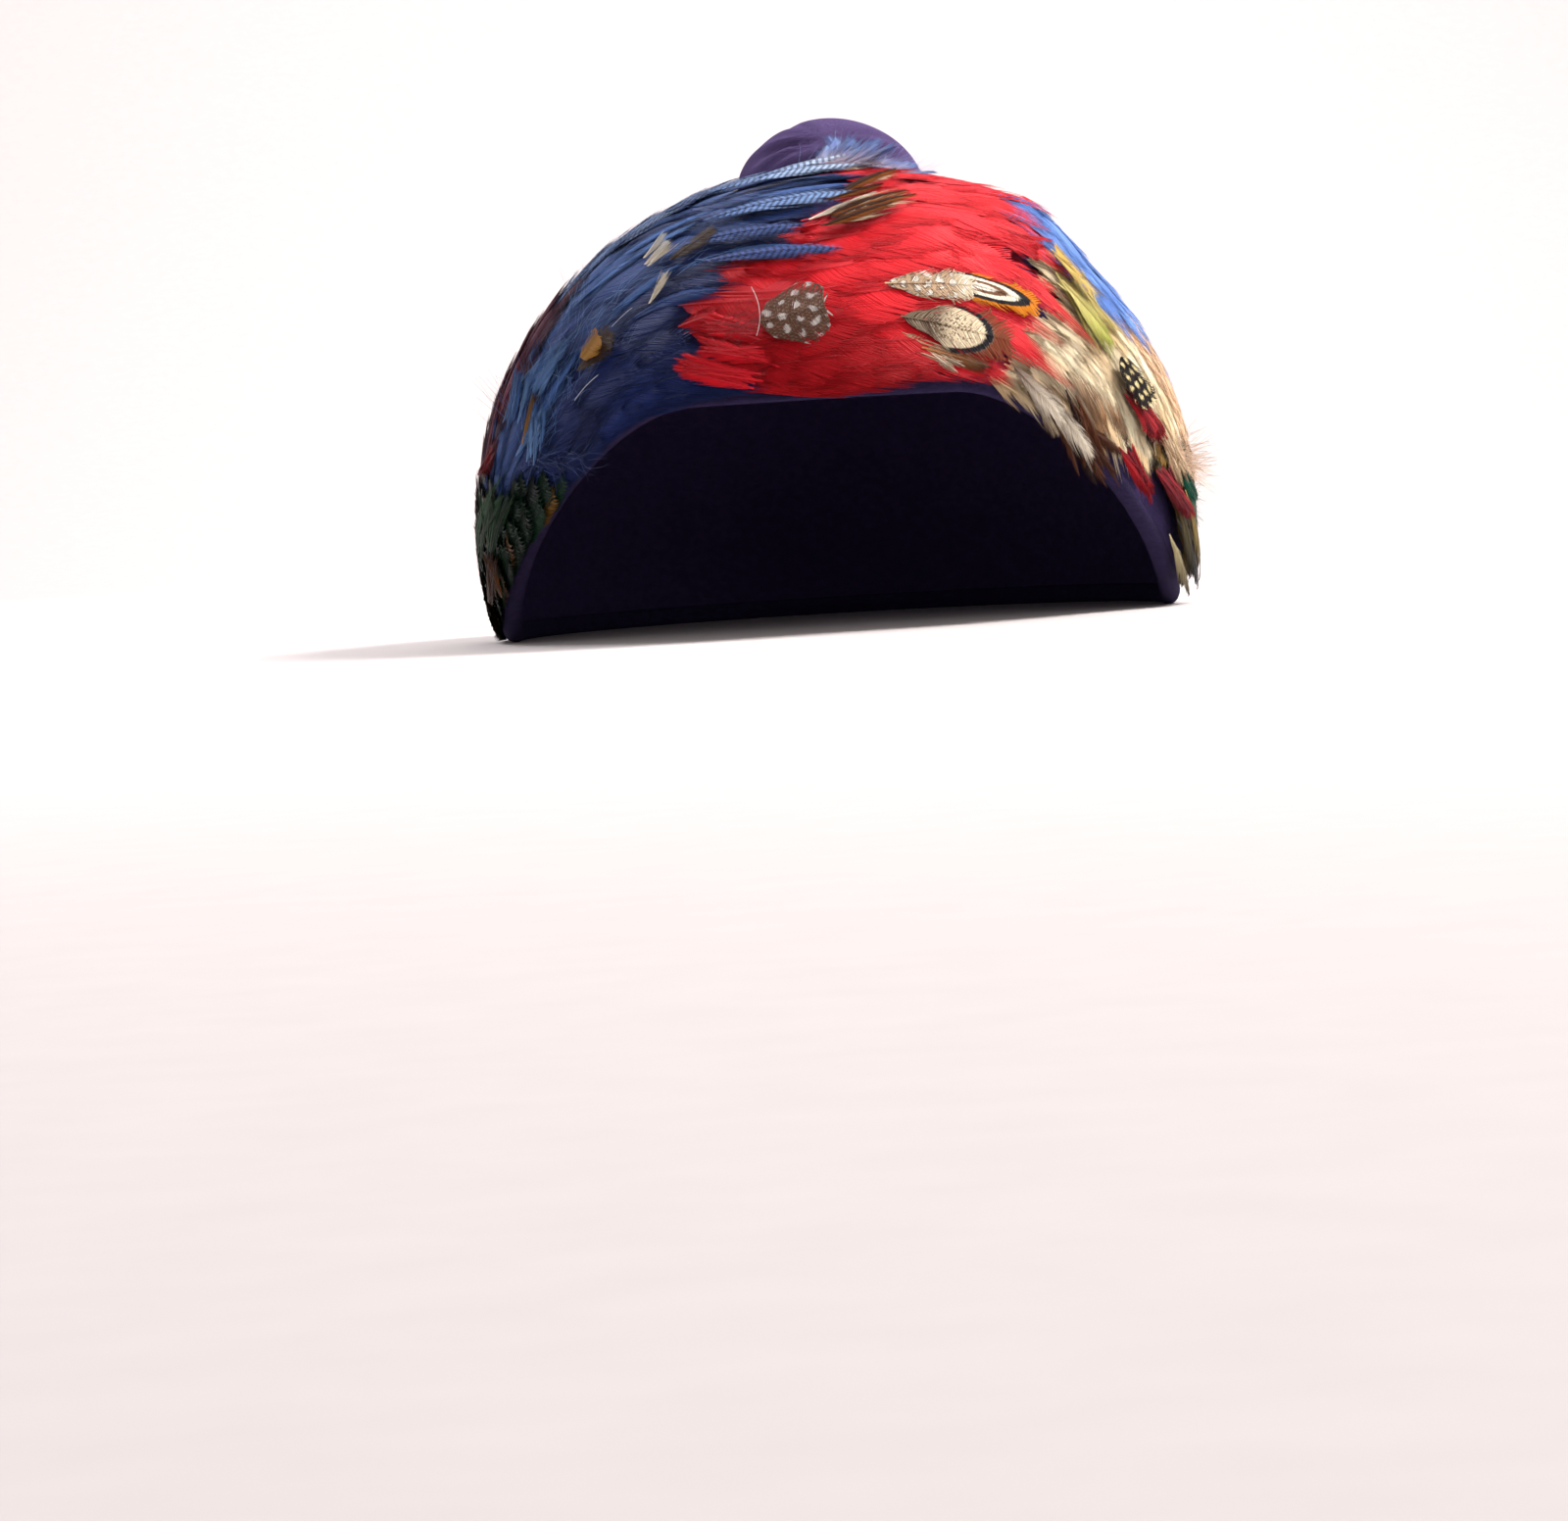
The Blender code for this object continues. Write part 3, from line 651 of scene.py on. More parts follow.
class Plumage:
    """Feathers that become one piece."""

    def __init__(self, seed):
        self.random = np.random.default_rng(seed)
        self.points, self.faces, self.vane, self.dye = [], [], [], []
        self.count, self.size = 0, 0

    def keep(self, points, faces, marks, flat, colour):
        """Take over one feather."""
        points[:, 2] = np.maximum(points[:, 2], FLOOR_GAP)
        self.points.append(points)
        self.faces.append(faces + self.size)
        self.size += len(points)
        self.vane.append(np.stack([flat[:, 1] * 1000, flat[:, 0] * 1000, marks[:, 0]], -1))
        own = np.full((len(points), 1), self.random.random())
        self.dye.append(np.concatenate([np.clip(colour, 0, 1), own], 1))
        self.count += 1

    def add(self, kind, direction, heading, length, half, root, tip=None, shaft=0.8, low=0.0012,
            high=0.0034, bend=0.0, camber=0.0004, tilt=0.0):
        """A feather dyed from a root colour to a tip colour, with a lighter or darker shaft."""
        flat, faces, marks = barbs(kind, length, half, self.random)
        tip = root if tip is None else tip
        share = np.clip(flat[:, 0] / length, 0, 1)[:, None]
        colour = np.asarray(root) * (1 - share) + np.asarray(tip) * share
        colour = colour * np.where(marks[:, :1] < 0, shaft, 1.0)
        points = lay(flat, direction, heading, length, half, low, high, bend, camber, tilt)
        self.keep(points, faces, marks, flat, colour)

    def add_traced(self, kind, root, middle, tip, half, dye, tip_dye=None, **more):
        """A feather whose shaft runs through three directions on the cap."""
        along_turn, to_front = tangents(root)
        flat = [np.array([way @ along_turn, way @ to_front]) / (way @ root) * RADIUS
                for way in (middle, tip)]
        angles = [math.atan2(place[1], place[0]) for place in flat]
        bend = max(-0.6, min(0.6, 2 * (angles[1] - angles[0])))
        length = np.linalg.norm(flat[1]) * math.cos(bend)
        self.add(kind, root, angles[1] - bend, length, half, dye, tip_dye,
                 bend=math.tan(bend), **more)

    def add_seen(self, kind, root_pixel, tip_pixel, half, dye, tip_dye=None, low=0.0022,
                 high=0.0048, **more):
        """A feather between two places of the photograph."""
        root, tip = seen_at(*root_pixel), seen_at(*tip_pixel)
        middle = (root + tip) / np.linalg.norm(root + tip)
        self.add_traced(kind, root, middle, tip, half, dye, tip_dye, low=low, high=high, **more)

    def add_tuft(self, kind, root_pixel, tip_pixel, count, spread, half, dark, light, **more):
        """Several small feathers between two places, each moved by some pixels."""
        for _ in range(count):
            root, tip = (np.add(pixel, self.random.normal(0, spread, 2))
                         for pixel in (root_pixel, tip_pixel))
            dye = np.asarray(dark) + np.subtract(light, dark) * self.random.random()
            self.add_seen(kind, root, tip, half * self.random.uniform(0.7, 1.2), dye, **more)

    def finish(self, name, finish, slot, *nodes):
        piece = new_piece(name, np.concatenate(self.points), np.concatenate(self.faces), finish)
        dye = piece.data.attributes.new("dye", "FLOAT_COLOR", "POINT")
        dye.data.foreach_set("color", np.concatenate(self.dye).ravel())
        vane = piece.data.attributes.new("vane", "FLOAT_VECTOR", "POINT")
        vane.data.foreach_set("vector", np.concatenate(self.vane).ravel())
        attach(piece, "root")
        if nodes:
            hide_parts(*nodes)
        print(name, "has", self.count, "feathers and", 2 * len(piece.data.polygons), "triangles")
        return piece


# %% [markdown]
# ## Feather finishes
#
# Feathers are silky, with broad soft highlights and a slight glow at the edges, where light
# comes through the barbs. The dye is uneven from feather to feather and from barb to barb. The
# number of the barb drives a fine noise, so each barb strip looks like several finer barbs, and
# the same noise gives them relief.

# %% Feather finish
class FeatherFinish(Finish):
    """A finish that reads the dye and the place on the feather from the mesh."""

    def __init__(self, name, roughness=0.45, sheen=0.02, tint=(1.0, 0.92, 0.95), gloss=0.09):
        super().__init__(name, Roughness=roughness, Sheen_Weight=sheen, Sheen_Roughness=0.4,
                         Specular_IOR_Level=gloss)
        self.shader.inputs["Sheen Tint"].default_value = (*tint, 1)
        self.dye, _, _, self.own = self.node("ShaderNodeAttribute", {"attribute_name": "dye"})
        place = self.node("ShaderNodeAttribute", {"attribute_name": "vane"})[1]
        self.across, self.along, self.ridge = self.node(
            "ShaderNodeSeparateXYZ", {}, {"Vector": place})
        phase = self.ridge * 2.6 + self.own * 190.0
        streak = self.node("ShaderNodeTexNoise", {"noise_dimensions": "1D"},
                           {"W": phase, "Scale": 1.0, "Detail": 2.0})[0]
        self.streak = streak.over(0.3, 0.7)
        self.ragged = self.along + (self.streak - 0.5) * 0.8  # edges of a pattern are uneven

    def paint(self, colour, shade=0.62, relief=0.00012):
        """Set the colour, with barbs that vary from shade to full."""
        low = self.mix(1.0, colour, (shade, shade, shade), "MULTIPLY")
        self.set(Base_Color=self.mix(self.streak, low, colour))
        self.bump(self.streak, relief)
        return self

    def dots(self, pitch_across, pitch_along, radius, uneven=0.5):
        """1 in round dots that stand in rows, each row shifted by half a step."""
        place = self.node("ShaderNodeCombineXYZ", {}, {"X": self.across, "Y": self.along})[0]
        along, across = (start + (self.noise(scale, place) - 0.5) * (uneven * 4.0)
                         for start, scale in ((self.ragged, 0.32), (self.across, 0.45)))
        row = (along / pitch_along).whole()
        place = across / pitch_across + row * 0.5
        side = (place - place.whole() - 0.5) * pitch_across
        ahead = (along / pitch_along - row - 0.5) * pitch_along
        away = (side * side + ahead * ahead) ** 0.5
        return away.over(radius * 1.15, radius * 0.85)

    def oval(self, middle, half_across, half_along):
        """Distance from a place on the shaft: 1 on an oval round it."""
        side = self.across / half_across
        ahead = (self.ragged - middle) / half_along
        return (side * side + ahead * ahead) ** 0.5


# %% [markdown]
# The dyed patches are satin feathers, whose barbs lie close, as on a goose. The red ones are
# smoother still. The bronze ends are small scales, dark between their barbs. The soft finish
# serves the small natural feathers.

# %% Dyed feathers
satin = FeatherFinish("satin_feather", tint=(0.75, 0.82, 1.0))
satin.paint(satin.dye, shade=0.50)
smooth_red = FeatherFinish("red_feather", roughness=0.5, sheen=0.08, tint=(1.0, 0.45, 0.55))
smooth_red.paint(smooth_red.dye, shade=0.80, relief=0.00006)
dark_scale = FeatherFinish("dark_scale_feather", roughness=0.35, sheen=0.0, gloss=0.06)
dark_scale.paint(dark_scale.dye, shade=0.35)
soft = FeatherFinish("soft_feather")
soft.paint(soft.dye, shade=0.70)
print("Dyed finishes:", ", ".join(each.material.name for each in (satin, smooth_red, dark_scale,
                                                                  soft)))

# %% [markdown]
# Hackles are the narrow neck feathers of a cock. The cream ones are brown along the shaft near
# the root, the tan ones have a V of rust brown every few millimetres, and the blue ones are
# barred. A V or a bar is a sine wave along the feather, bent by the distance from the shaft.

# %% Hackles
V_PITCH, BAR_PITCH = 4.5, 1.6  # mm
RUST, BAR_BLUE = (0.58, 0.18, 0.06), (0.014, 0.020, 0.065)


def bars(along, across, pitch, slant, low, high):
    """1 in bars that cross the vane and slant away from the shaft on both sides."""
    turns = (along + abs(across) * slant) * (2 * math.pi / pitch)
    return turns.wave().over(low, high)


hackle = FeatherFinish("hackle_feather", roughness=0.5)
core = abs(hackle.across).over(1.2, 0.3) * hackle.along.over(30.0, 12.0)
hackle.paint(hackle.mix(core * 0.35, hackle.dye, (0.30, 0.13, 0.05)), shade=0.78)
chevron = FeatherFinish("chevron_feather", roughness=0.5)
line = bars(chevron.ragged, chevron.across, V_PITCH, 1.4, 0.3, 0.9)
chevron.paint(chevron.mix(line * 0.72, chevron.dye, RUST), shade=0.72)
barred = FeatherFinish("barred_feather", tint=(0.75, 0.85, 1.0))
bar = bars(barred.along, barred.across, BAR_PITCH, 0.5, -0.2, 0.4)
barred.paint(barred.mix(bar * 0.66, barred.dye, BAR_BLUE), shade=0.62)
print("Hackles:", ", ".join(each.material.name for each in (hackle, chevron, barred)))

# %% [markdown]
# ## Where each colour lies
#
# The band is a front row and a rear row of colour patches, with a seam between the rows. The
# lines between patches cross a row from its front edge to its rear edge. Each patch takes the
# place of its own solid of the CAD model. Three of the lines lie up to 19 mm from the seams
# between the solids, because they follow the photograph more closely: navy to red, red to cream
# and red to sky blue.
#
# First we need the edges. The front edge is where the cap's form comes down to the binding. The
# rear edge lies a little behind the crown, with a notch that the knot stands in.

# %% Edges of the band
BACK = 0.019  # how far the band reaches behind the middle of the cap
NOTCH, NOTCH_HALF, NOTCH_CURVE = 0.033, 0.036, 2.2  # its depth, half its width, its roundness


def edge_latitude(turn):
    """Latitude of the band's front edge, found by trying every tenth of a degree."""
    latitudes = np.radians(np.arange(0, 89, 0.1))
    way = band(turn, latitudes)
    floor = edge_height(np.arctan2(way[:, 0], -way[:, 1])) + BINDING + 0.001
    below = np.nonzero(lifted(way, 0.0)[:, 2] < floor)[0]
    return latitudes[below[0]] if len(below) else latitudes[-1]


TURNS = np.radians(np.arange(-104, 104.5, 1.0))
EDGE = np.array([edge_latitude(turn) for turn in TURNS])


def front_latitude(turn):
    """Latitude of the front edge at any turn."""
    return float(np.interp(turn, TURNS, EDGE))


def rear_latitude(turn):
    """Latitude of the rear edge, which is slightly wavy."""
    across = abs(HALF[0] * math.sin(turn)) / NOTCH_HALF
    back = BACK + 0.0012 * math.sin(turn * 19) * math.sin(turn * 7 + 1)
    if across < 1 and math.cos(turn) > 0:
        back = BACK - NOTCH + NOTCH * across ** NOTCH_CURVE
    return -math.asin(back / HALF[1])


print("Front edge over the forehead:", round(math.degrees(front_latitude(0)), 1), "deg")

# %% Lines between the colours
SEAM = math.radians(15)
SEAM_TURNS, SEAM_SHIFTS = (-78, -62, -45, -36, 34, 44, 62, 70), (0, 5, 5, 0, 0, 6, 6, 0)
LINES = {  # share of the way from the front edge to the rear edge, turn in degrees
    "navy_red": ((0.0, -22), (0.13, -26), (0.22, -34), (0.34, -20), (0.50, -3), (0.75, 7),
                 (1.0, 9)),
    "red_cream": ((0.0, 57), (0.2, 53), (0.46, 52), (0.6, 49), (0.7, 45), (0.9, 41), (1.0, 40)),
    "plum_blue": ((0.0, -42), (1.0, -50)),
    "blue_red": ((0.0, 7), (1.0, 10)),
    "red_sky": ((0.0, 33), (0.38, 30), (1.0, 25)),
    "sky_tan": ((0.0, 60), (1.0, 66)),
}


def line_turn(line, share):
    """Turn of a line between two colours at a share of its row."""
    shares, turns = zip(*LINES[line])
    return math.radians(np.interp(share, shares, turns))


def patch_at(turn, latitude):
    """Name of the colour patch at a place on the band. The lines are uneven at the sides."""
    degrees, level = math.degrees(turn), math.degrees(latitude)
    uneven = np.interp(abs(degrees), (40, 55), (0, 1))
    degrees += uneven * (2.6 * math.sin(level * 0.30) + 1.6 * math.sin(level * 0.71 + 1))
    turn = math.radians(degrees)
    latitude += math.radians(uneven * 2.2 * math.sin(degrees * 0.45))
    if degrees < -80:
        return "left_end"
    if degrees > 84:
        return "right_end"
    if latitude >= SEAM + math.radians(np.interp(degrees, SEAM_TURNS, SEAM_SHIFTS)):
        front = front_latitude(turn)
        share = (front - latitude) / max(front - SEAM, 1e-6)
        if turn < line_turn("navy_red", share):
            return "navy"
        return "red" if turn < line_turn("red_cream", share) else "cream"
    share = (SEAM - latitude) / max(SEAM - rear_latitude(turn), 1e-6)
    for name, line in (("plum", "plum_blue"), ("barred", "blue_red"), ("red_crown", "red_sky"),
                       ("sky", "sky_tan")):
        if turn < line_turn(line, share):
            return name
    return "tan"


print("Over the forehead lies", patch_at(0.0, math.radians(45)), "and at the crown",
      patch_at(0.0, math.radians(10)))

# %% [markdown]
# The feathers follow flow lines, which keep the same share of the way between the band's rear
# edge and its front edge, so they turn with the arch over the forehead. On the right side they
# run straighter and cross the front edge with their tips. We choose where each tip goes, and
# trace the shaft back from it to the root. Nothing in nature is even, so every place, length and
# colour is moved by a small seeded random amount.

# %% Flow lines
TURN_RADIUS, LEVEL_RADIUS = 0.081, 0.088  # for steps along the band and towards its front edge


def latitude_at(turn, share):
    """Latitude at a share of the way from the band's rear edge to its front edge."""
    return rear_latitude(turn) * (1 - share) + front_latitude(turn) * share


def lean_at(turn, share):
    """How far the feathers lean from the way of the band to the forehead, in radians."""
    latitude = latitude_at(turn, share)
    slope = (latitude_at(turn + 0.03, share) - latitude_at(turn - 0.03, share)) / 0.06
    along_line = math.atan2(slope * LEVEL_RADIUS, TURN_RADIUS * max(math.cos(latitude), 0.3))
    degrees = math.degrees(turn)
    follow = np.interp(degrees, (10, 45, 70), (1.0, 0.8, 0.4))
    return along_line * follow + math.radians(np.interp(degrees, (-60, 0, 40, 70), (2, 0, 2, 8)))


def trace(turn, share, length, steps=8):
    """Directions of the root, the middle and the tip of a feather, from its tip's place."""
    latitude = latitude_at(turn, share)
    places = [(turn, latitude)]
    for _ in range(steps):
        lean = lean_at(turn, share)
        turn -= length / steps * math.cos(lean) / (TURN_RADIUS * max(math.cos(latitude), 0.3))
        latitude -= length / steps * math.sin(lean) / LEVEL_RADIUS
        if turn < math.radians(-106):
            break
        rear = rear_latitude(turn)
        share = (latitude - rear) / (front_latitude(turn) - rear)
        places.append((turn, latitude))
    return [band(*places[number]) for number in (-1, len(places) // 2, 0)]


print("Feathers at the crown lean by", round(math.degrees(lean_at(0.0, 0.5)), 1), "degrees")

# %% [markdown]
# Each patch has its own kind and size of feather. Its dyes run from a dark to a light one, and
# every feather gets one between them. Red feathers are darker at the brow, as painted shade, and
# navy ones grow paler towards the crown, as a painted highlight. Some feathers of the bronze ends
# are brown.

# %% Feathers of each patch
PATCHES = {  # lengths in metres: of a feather, half its width, between rows, between neighbours
    "left_end": {"kind": "scale", "length": 0.015, "half": 0.0044, "step": 0.0050,
                 "beside": 0.0048, "dark": (0.004, 0.009, 0.008), "light": (0.008, 0.040, 0.018)},
    "navy": {"kind": "satin", "length": 0.060, "half": 0.0095, "step": 0.0170,
             "beside": 0.0076, "dark": (0.008, 0.014, 0.080), "light": (0.016, 0.034, 0.175)},
    "red": {"kind": "satin", "length": 0.054, "half": 0.0120, "step": 0.0170,
            "beside": 0.0090, "spare": 0.006, "dark": (0.60, 0.006, 0.012),
            "light": (0.72, 0.008, 0.018)},
    "cream": {"kind": "hackle", "length": 0.036, "half": 0.0050, "step": 0.0085,
              "beside": 0.0046, "spare": 0.006, "dark": (0.88, 0.60, 0.32),
              "light": (1.0, 0.91, 0.65)},
    "right_end": {"kind": "scale", "length": 0.020, "half": 0.0042, "step": 0.0055,
                  "beside": 0.0048, "dark": (0.006, 0.006, 0.010), "light": (0.05, 0.036, 0.012)},
    "plum": {"kind": "satin", "length": 0.044, "half": 0.0080, "step": 0.0120,
             "beside": 0.0068, "dark": (0.030, 0.004, 0.022), "light": (0.14, 0.008, 0.036)},
    "barred": {"kind": "hackle", "length": 0.052, "half": 0.0064, "step": 0.0115,
               "beside": 0.0055, "dark": (0.06, 0.12, 0.36), "light": (0.15, 0.28, 0.64),
               "tip": (0.42, 0.56, 0.86)},
    "red_crown": {"kind": "satin", "length": 0.044, "half": 0.0100, "step": 0.0130,
                  "beside": 0.0075, "dark": (0.62, 0.008, 0.016), "light": (0.76, 0.014, 0.03)},
    "sky": {"kind": "satin", "length": 0.042, "half": 0.0090, "step": 0.0120,
            "beside": 0.0070, "dark": (0.07, 0.17, 0.56), "light": (0.19, 0.36, 0.84)},
    "tan": {"kind": "hackle", "length": 0.036, "half": 0.0054, "step": 0.0085,
            "beside": 0.0048, "dark": (0.85, 0.50, 0.26), "light": (1.0, 0.80, 0.56)},
}


def mixed(low, high, share):
    """A colour between two, or past them."""
    return np.asarray(low) * (1 - share) + np.asarray(high) * share


def dye_at(name, latitude, random):
    """Dye of a feather of a patch."""
    rule = PATCHES[name]
    dye = mixed(rule["dark"], rule["light"], np.clip(random.normal(0.5, 0.25), 0, 1))
    if name in ("left_end", "right_end") and random.random() < 0.25:
        dye = mixed((0.09, 0.030, 0.008), (0.22, 0.12, 0.02), random.random())
    # Painted shade: red feathers are dyed darker towards the brow, where the front of the band
    # lies in shade.
    if name == "red":
        dye = dye * (1 - 0.38 * ease((latitude - math.radians(46)) / math.radians(14)))
    # Painted highlight: navy feathers are dyed paler towards the crown, where the light falls, by
    # a random amount for each feather.
    if name == "navy":
        pale = np.clip((math.radians(42) - latitude) / math.radians(26), 0, 1)
        dye = mixed(dye, (0.060, 0.150, 0.44), pale * random.uniform(0.3, 1.0))
    return dye


print("Patches:", ", ".join(PATCHES))

# %% [markdown]
# A patch is filled lane by lane. In each lane the last tip lies on the patch's right-hand line,
# and the rows before it follow at an even step, moved a little. Feathers near the left line are
# shorter, so they don't show in the patch before. `beyond` says how far tips may pass the band's
# front edge: some hang over it, and at the right end the velvet stays bare.

# %% Filling a patch
LANE_SPACE = 0.105  # width of the band that the lanes share


def stretches(name, share):
    """Where a flow line runs through a patch: pairs of turns."""
    inside = [turn for turn in TURNS if patch_at(turn, latitude_at(turn, min(share, 1))) == name]
    found = []
    for turn in inside:
        if found and turn - found[-1][1] < 0.03:
            found[-1][1] = turn
        else:
            found.append([turn, turn])
    return found


def fill(name, seed, low, high, beyond):
    """Feathers for one patch, whose roots and tips lie at the lifts low and high."""
    rule = PATCHES[name]
    plumage = Plumage(seed)
    random = plumage.random
    lanes = round(LANE_SPACE / rule["beside"])
    for lane in range(lanes + 3):
        for first, last in stretches(name, lane / lanes):
            turn = last + 0.02 - 0.5 * (lane % 2) * rule["step"] / TURN_RADIUS
            while turn > first - 0.02:
                share = (lane + random.normal(0, 0.28)) / lanes
                latitude = latitude_at(turn, share)
                if (latitude - front_latitude(turn)) * LEVEL_RADIUS < beyond:
                    spare = rule.get("spare", 0.013) if first > TURNS[2] else 1.0
                    reach = (turn - first) * TURN_RADIUS * max(math.cos(latitude), 0.3) + spare
                    length = min(rule["length"] * random.uniform(0.9, 1.1), max(reach, 0.004))
                    root, middle, tip = trace(turn, share, length)
                    room = ((front_latitude(turn) - latitude) * LEVEL_RADIUS + 0.0055
                            + beyond * 0.3)
                    half = min(rule["half"] * random.uniform(0.9, 1.1), max(room, 0.0030),
                               length * 0.35)
                    dye = dye_at(name, latitude, random)
                    tip_dye = mixed(dye, rule.get("tip", dye), random.uniform(0.3, 1.0))
                    if name == "cream" and room < 0.016 and random.random() < 0.55:
                        tip_dye = mixed((0.05, 0.018, 0.010), (0.30, 0.11, 0.03), random.random())
                    # Painted shade: each feather is dyed 10% darker at its root, fading towards
                    # its tip, for the shade of the feathers that cover it.
                    plumage.add_traced(rule["kind"], root, middle, tip, half, dye * 0.9, tip_dye,
                                       low=low, high=high + random.uniform(0, 0.0003),
                                       tilt=0.06)
                turn -= rule["step"] * random.uniform(0.8, 1.2) / TURN_RADIUS
    return plumage


# %% Patches of feathers
FILLED = (  # patch, its piece, finish, slot, the solids it replaces, how far tips pass the edge
    ("left_end", "left_end_plumage", dark_scale, "bronze",
     ("left_end_feathers", "left_end_rear_feathers"), 0.0075),
    ("navy", "navy_plumage", satin, "navy", ("navy_feathers",), 0.0075),
    ("red", "red_plumage", smooth_red, "red", ("red_feathers",), 0.0055),
    ("cream", "cream_plumage", hackle, "cream", ("cream_feathers",), 0.0090),
    ("right_end", "right_end_plumage", dark_scale, "bronze",
     ("right_end_feathers", "right_end_rear_feathers"), -0.0080),
    ("plum", "plum_plumage", satin, "plum", ("plum_feathers",), 0.0035),
    ("barred", "barred_blue_plumage", barred, "light_blue", ("barred_blue_feathers",), 0.0035),
    ("red_crown", "red_crown_plumage", smooth_red, "red", ("red_crown_feathers",), 0.0035),
    ("sky", "sky_blue_plumage", satin, "light_blue", ("sky_blue_feathers",), 0.0035),
    ("tan", "tan_plumage", chevron, "cream", ("tan_feathers",), 0.0035),
)
for seed, (patch, name, finish, slot, nodes, beyond) in enumerate(FILLED, 1):
    low, high = (0.0024, 0.0036) if finish is smooth_red else (0.0012, 0.0030)
    fill(patch, seed, low, high, beyond).finish(name, finish, slot, *nodes)

# %% [markdown]
# ## Single patterned feathers
#
# On top of the dyed feathers lie single natural ones. Each pattern is a formula of the place on
# the feather in millimetres, so it stays sharp at any size.
#
# A guinea fowl's feather is brown with rows of white dots, over a ground of fine flecks.

# %% Guinea fowl
guinea = FeatherFinish("guinea_feather_finish", sheen=0.0, gloss=0.03)
dot = guinea.dots(3.5, 3.3, 0.85, 0.9)
fleck = guinea.dots(0.9, 0.8, 0.22, 0.4)
ground = guinea.mix(fleck * 0.6, (0.150, 0.070, 0.045), (0.40, 0.28, 0.22))
guinea.paint(guinea.mix(dot, ground, (0.74, 0.66, 0.62)), shade=0.42)
print("Made", guinea.material.name)

# %% [markdown]
# The lower pheasant feather has a buff eye with specks, a black ring round it and a brown end.
# Towards its root the barbs are dark and streaked. All of it is measured from one oval.

# %% Pheasant feather with an eye
eyed = FeatherFinish("eyed_pheasant_finish", sheen=0.0, gloss=0.03)
ring = eyed.oval(11.0, 5.6, 8.2)
speckle = eyed.noise(1.0, eyed.node("ShaderNodeCombineXYZ", {}, {
    "X": eyed.across * 1.6, "Y": eyed.along * 1.6, "Z": eyed.own})[0], 1.0).over(0.52, 0.60)
buff = eyed.mix(speckle * ring.over(0.95, 0.5) * 0.8, (0.84, 0.68, 0.46), (0.12, 0.055, 0.03))
dark_ring = ring.over(0.94, 1.0) * ring.over(1.24, 1.18) * eyed.along.over(9.0, 12.0)
fibres = eyed.streak.over(0.35, 0.65) * eyed.along.over(13.0, 8.0)
buff = eyed.mix(fibres * 0.5 + eyed.along.over(13.0, 6.0) * 0.5, buff, (0.06, 0.026, 0.016))
body = eyed.mix(eyed.along.over(8.0, 12.0) * ring.over(1.16, 1.24), buff, (0.22, 0.050, 0.020))
eyed.paint(eyed.mix(dark_ring, body, (0.010, 0.008, 0.012)), shade=0.45)
print("Made", eyed.material.name)

# %% [markdown]
# The upper pheasant feather is orange, and one oval inside another is black, cream, brown and
# cream again.

# %% Orange pheasant feather
flame = FeatherFinish("orange_pheasant_finish", sheen=0.0, gloss=0.03)
ring = flame.oval(11.5, 3.5, 11.5)
heart = flame.mix(ring.over(0.22, 0.30), (0.86, 0.80, 0.68), (0.16, 0.07, 0.035))
heart = flame.mix(ring.over(0.46, 0.54), heart, (0.86, 0.78, 0.62))
heart = flame.mix(ring.over(0.72, 0.78), heart, (0.012, 0.010, 0.012))
flame.paint(flame.mix(ring.over(0.98, 1.04), heart, (0.62, 0.19, 0.006)))
print("Made", flame.material.name)

# %% [markdown]
# The neck feather has uneven pale spots, each with a brown rim. The other one is black with
# yellowish spots.

# %% Spotted feathers
neck = FeatherFinish("spotted_neck_finish", sheen=0.0, gloss=0.03)
spot = neck.dots(2.9, 2.7, 0.78, 1.3)
rim = neck.dots(2.9, 2.7, 1.10, 1.3)
ground = neck.mix(rim, (0.62, 0.42, 0.26), (0.16, 0.07, 0.035))
ground = neck.mix(neck.along.over(14.0, 18.0), ground, (0.80, 0.66, 0.46))
neck.paint(neck.mix(spot, ground, (0.90, 0.82, 0.70)), shade=0.42)

dark_spots = FeatherFinish("dark_spotted_finish", sheen=0.0, gloss=0.03)
dot = dark_spots.dots(2.8, 2.7, 0.72, 0.6)
dark_spots.paint(dark_spots.mix(dot, (0.014, 0.010, 0.010), (0.72, 0.58, 0.28)))
print("Made", neck.material.name, "and", dark_spots.material.name)

# %% [markdown]
# The brown hackles near the crown have a dark middle, rust brown beside it and pale edges.

# %% Streaked hackle
streaked = FeatherFinish("streaked_hackle_finish", sheen=0.0, gloss=0.03)
core = abs(streaked.across + 0.4).over(0.9, 0.5)
rim = abs(streaked.across).over(1.3, 1.9)
ground = streaked.mix(rim, (0.26, 0.075, 0.014), (0.95, 0.76, 0.50))
streaked.paint(streaked.mix(core, ground, (0.050, 0.016, 0.007)), shade=0.5)
print("Made", streaked.material.name)

# %% [markdown]
# Each single feather is laid between two places that we read off the photograph: where its root
# goes in and where its tip ends. It lies on top of the band. Where a piece has several, each one
# lies a little higher than the one before. The red feather at the side also gets three tufts of
# small crimson ones.

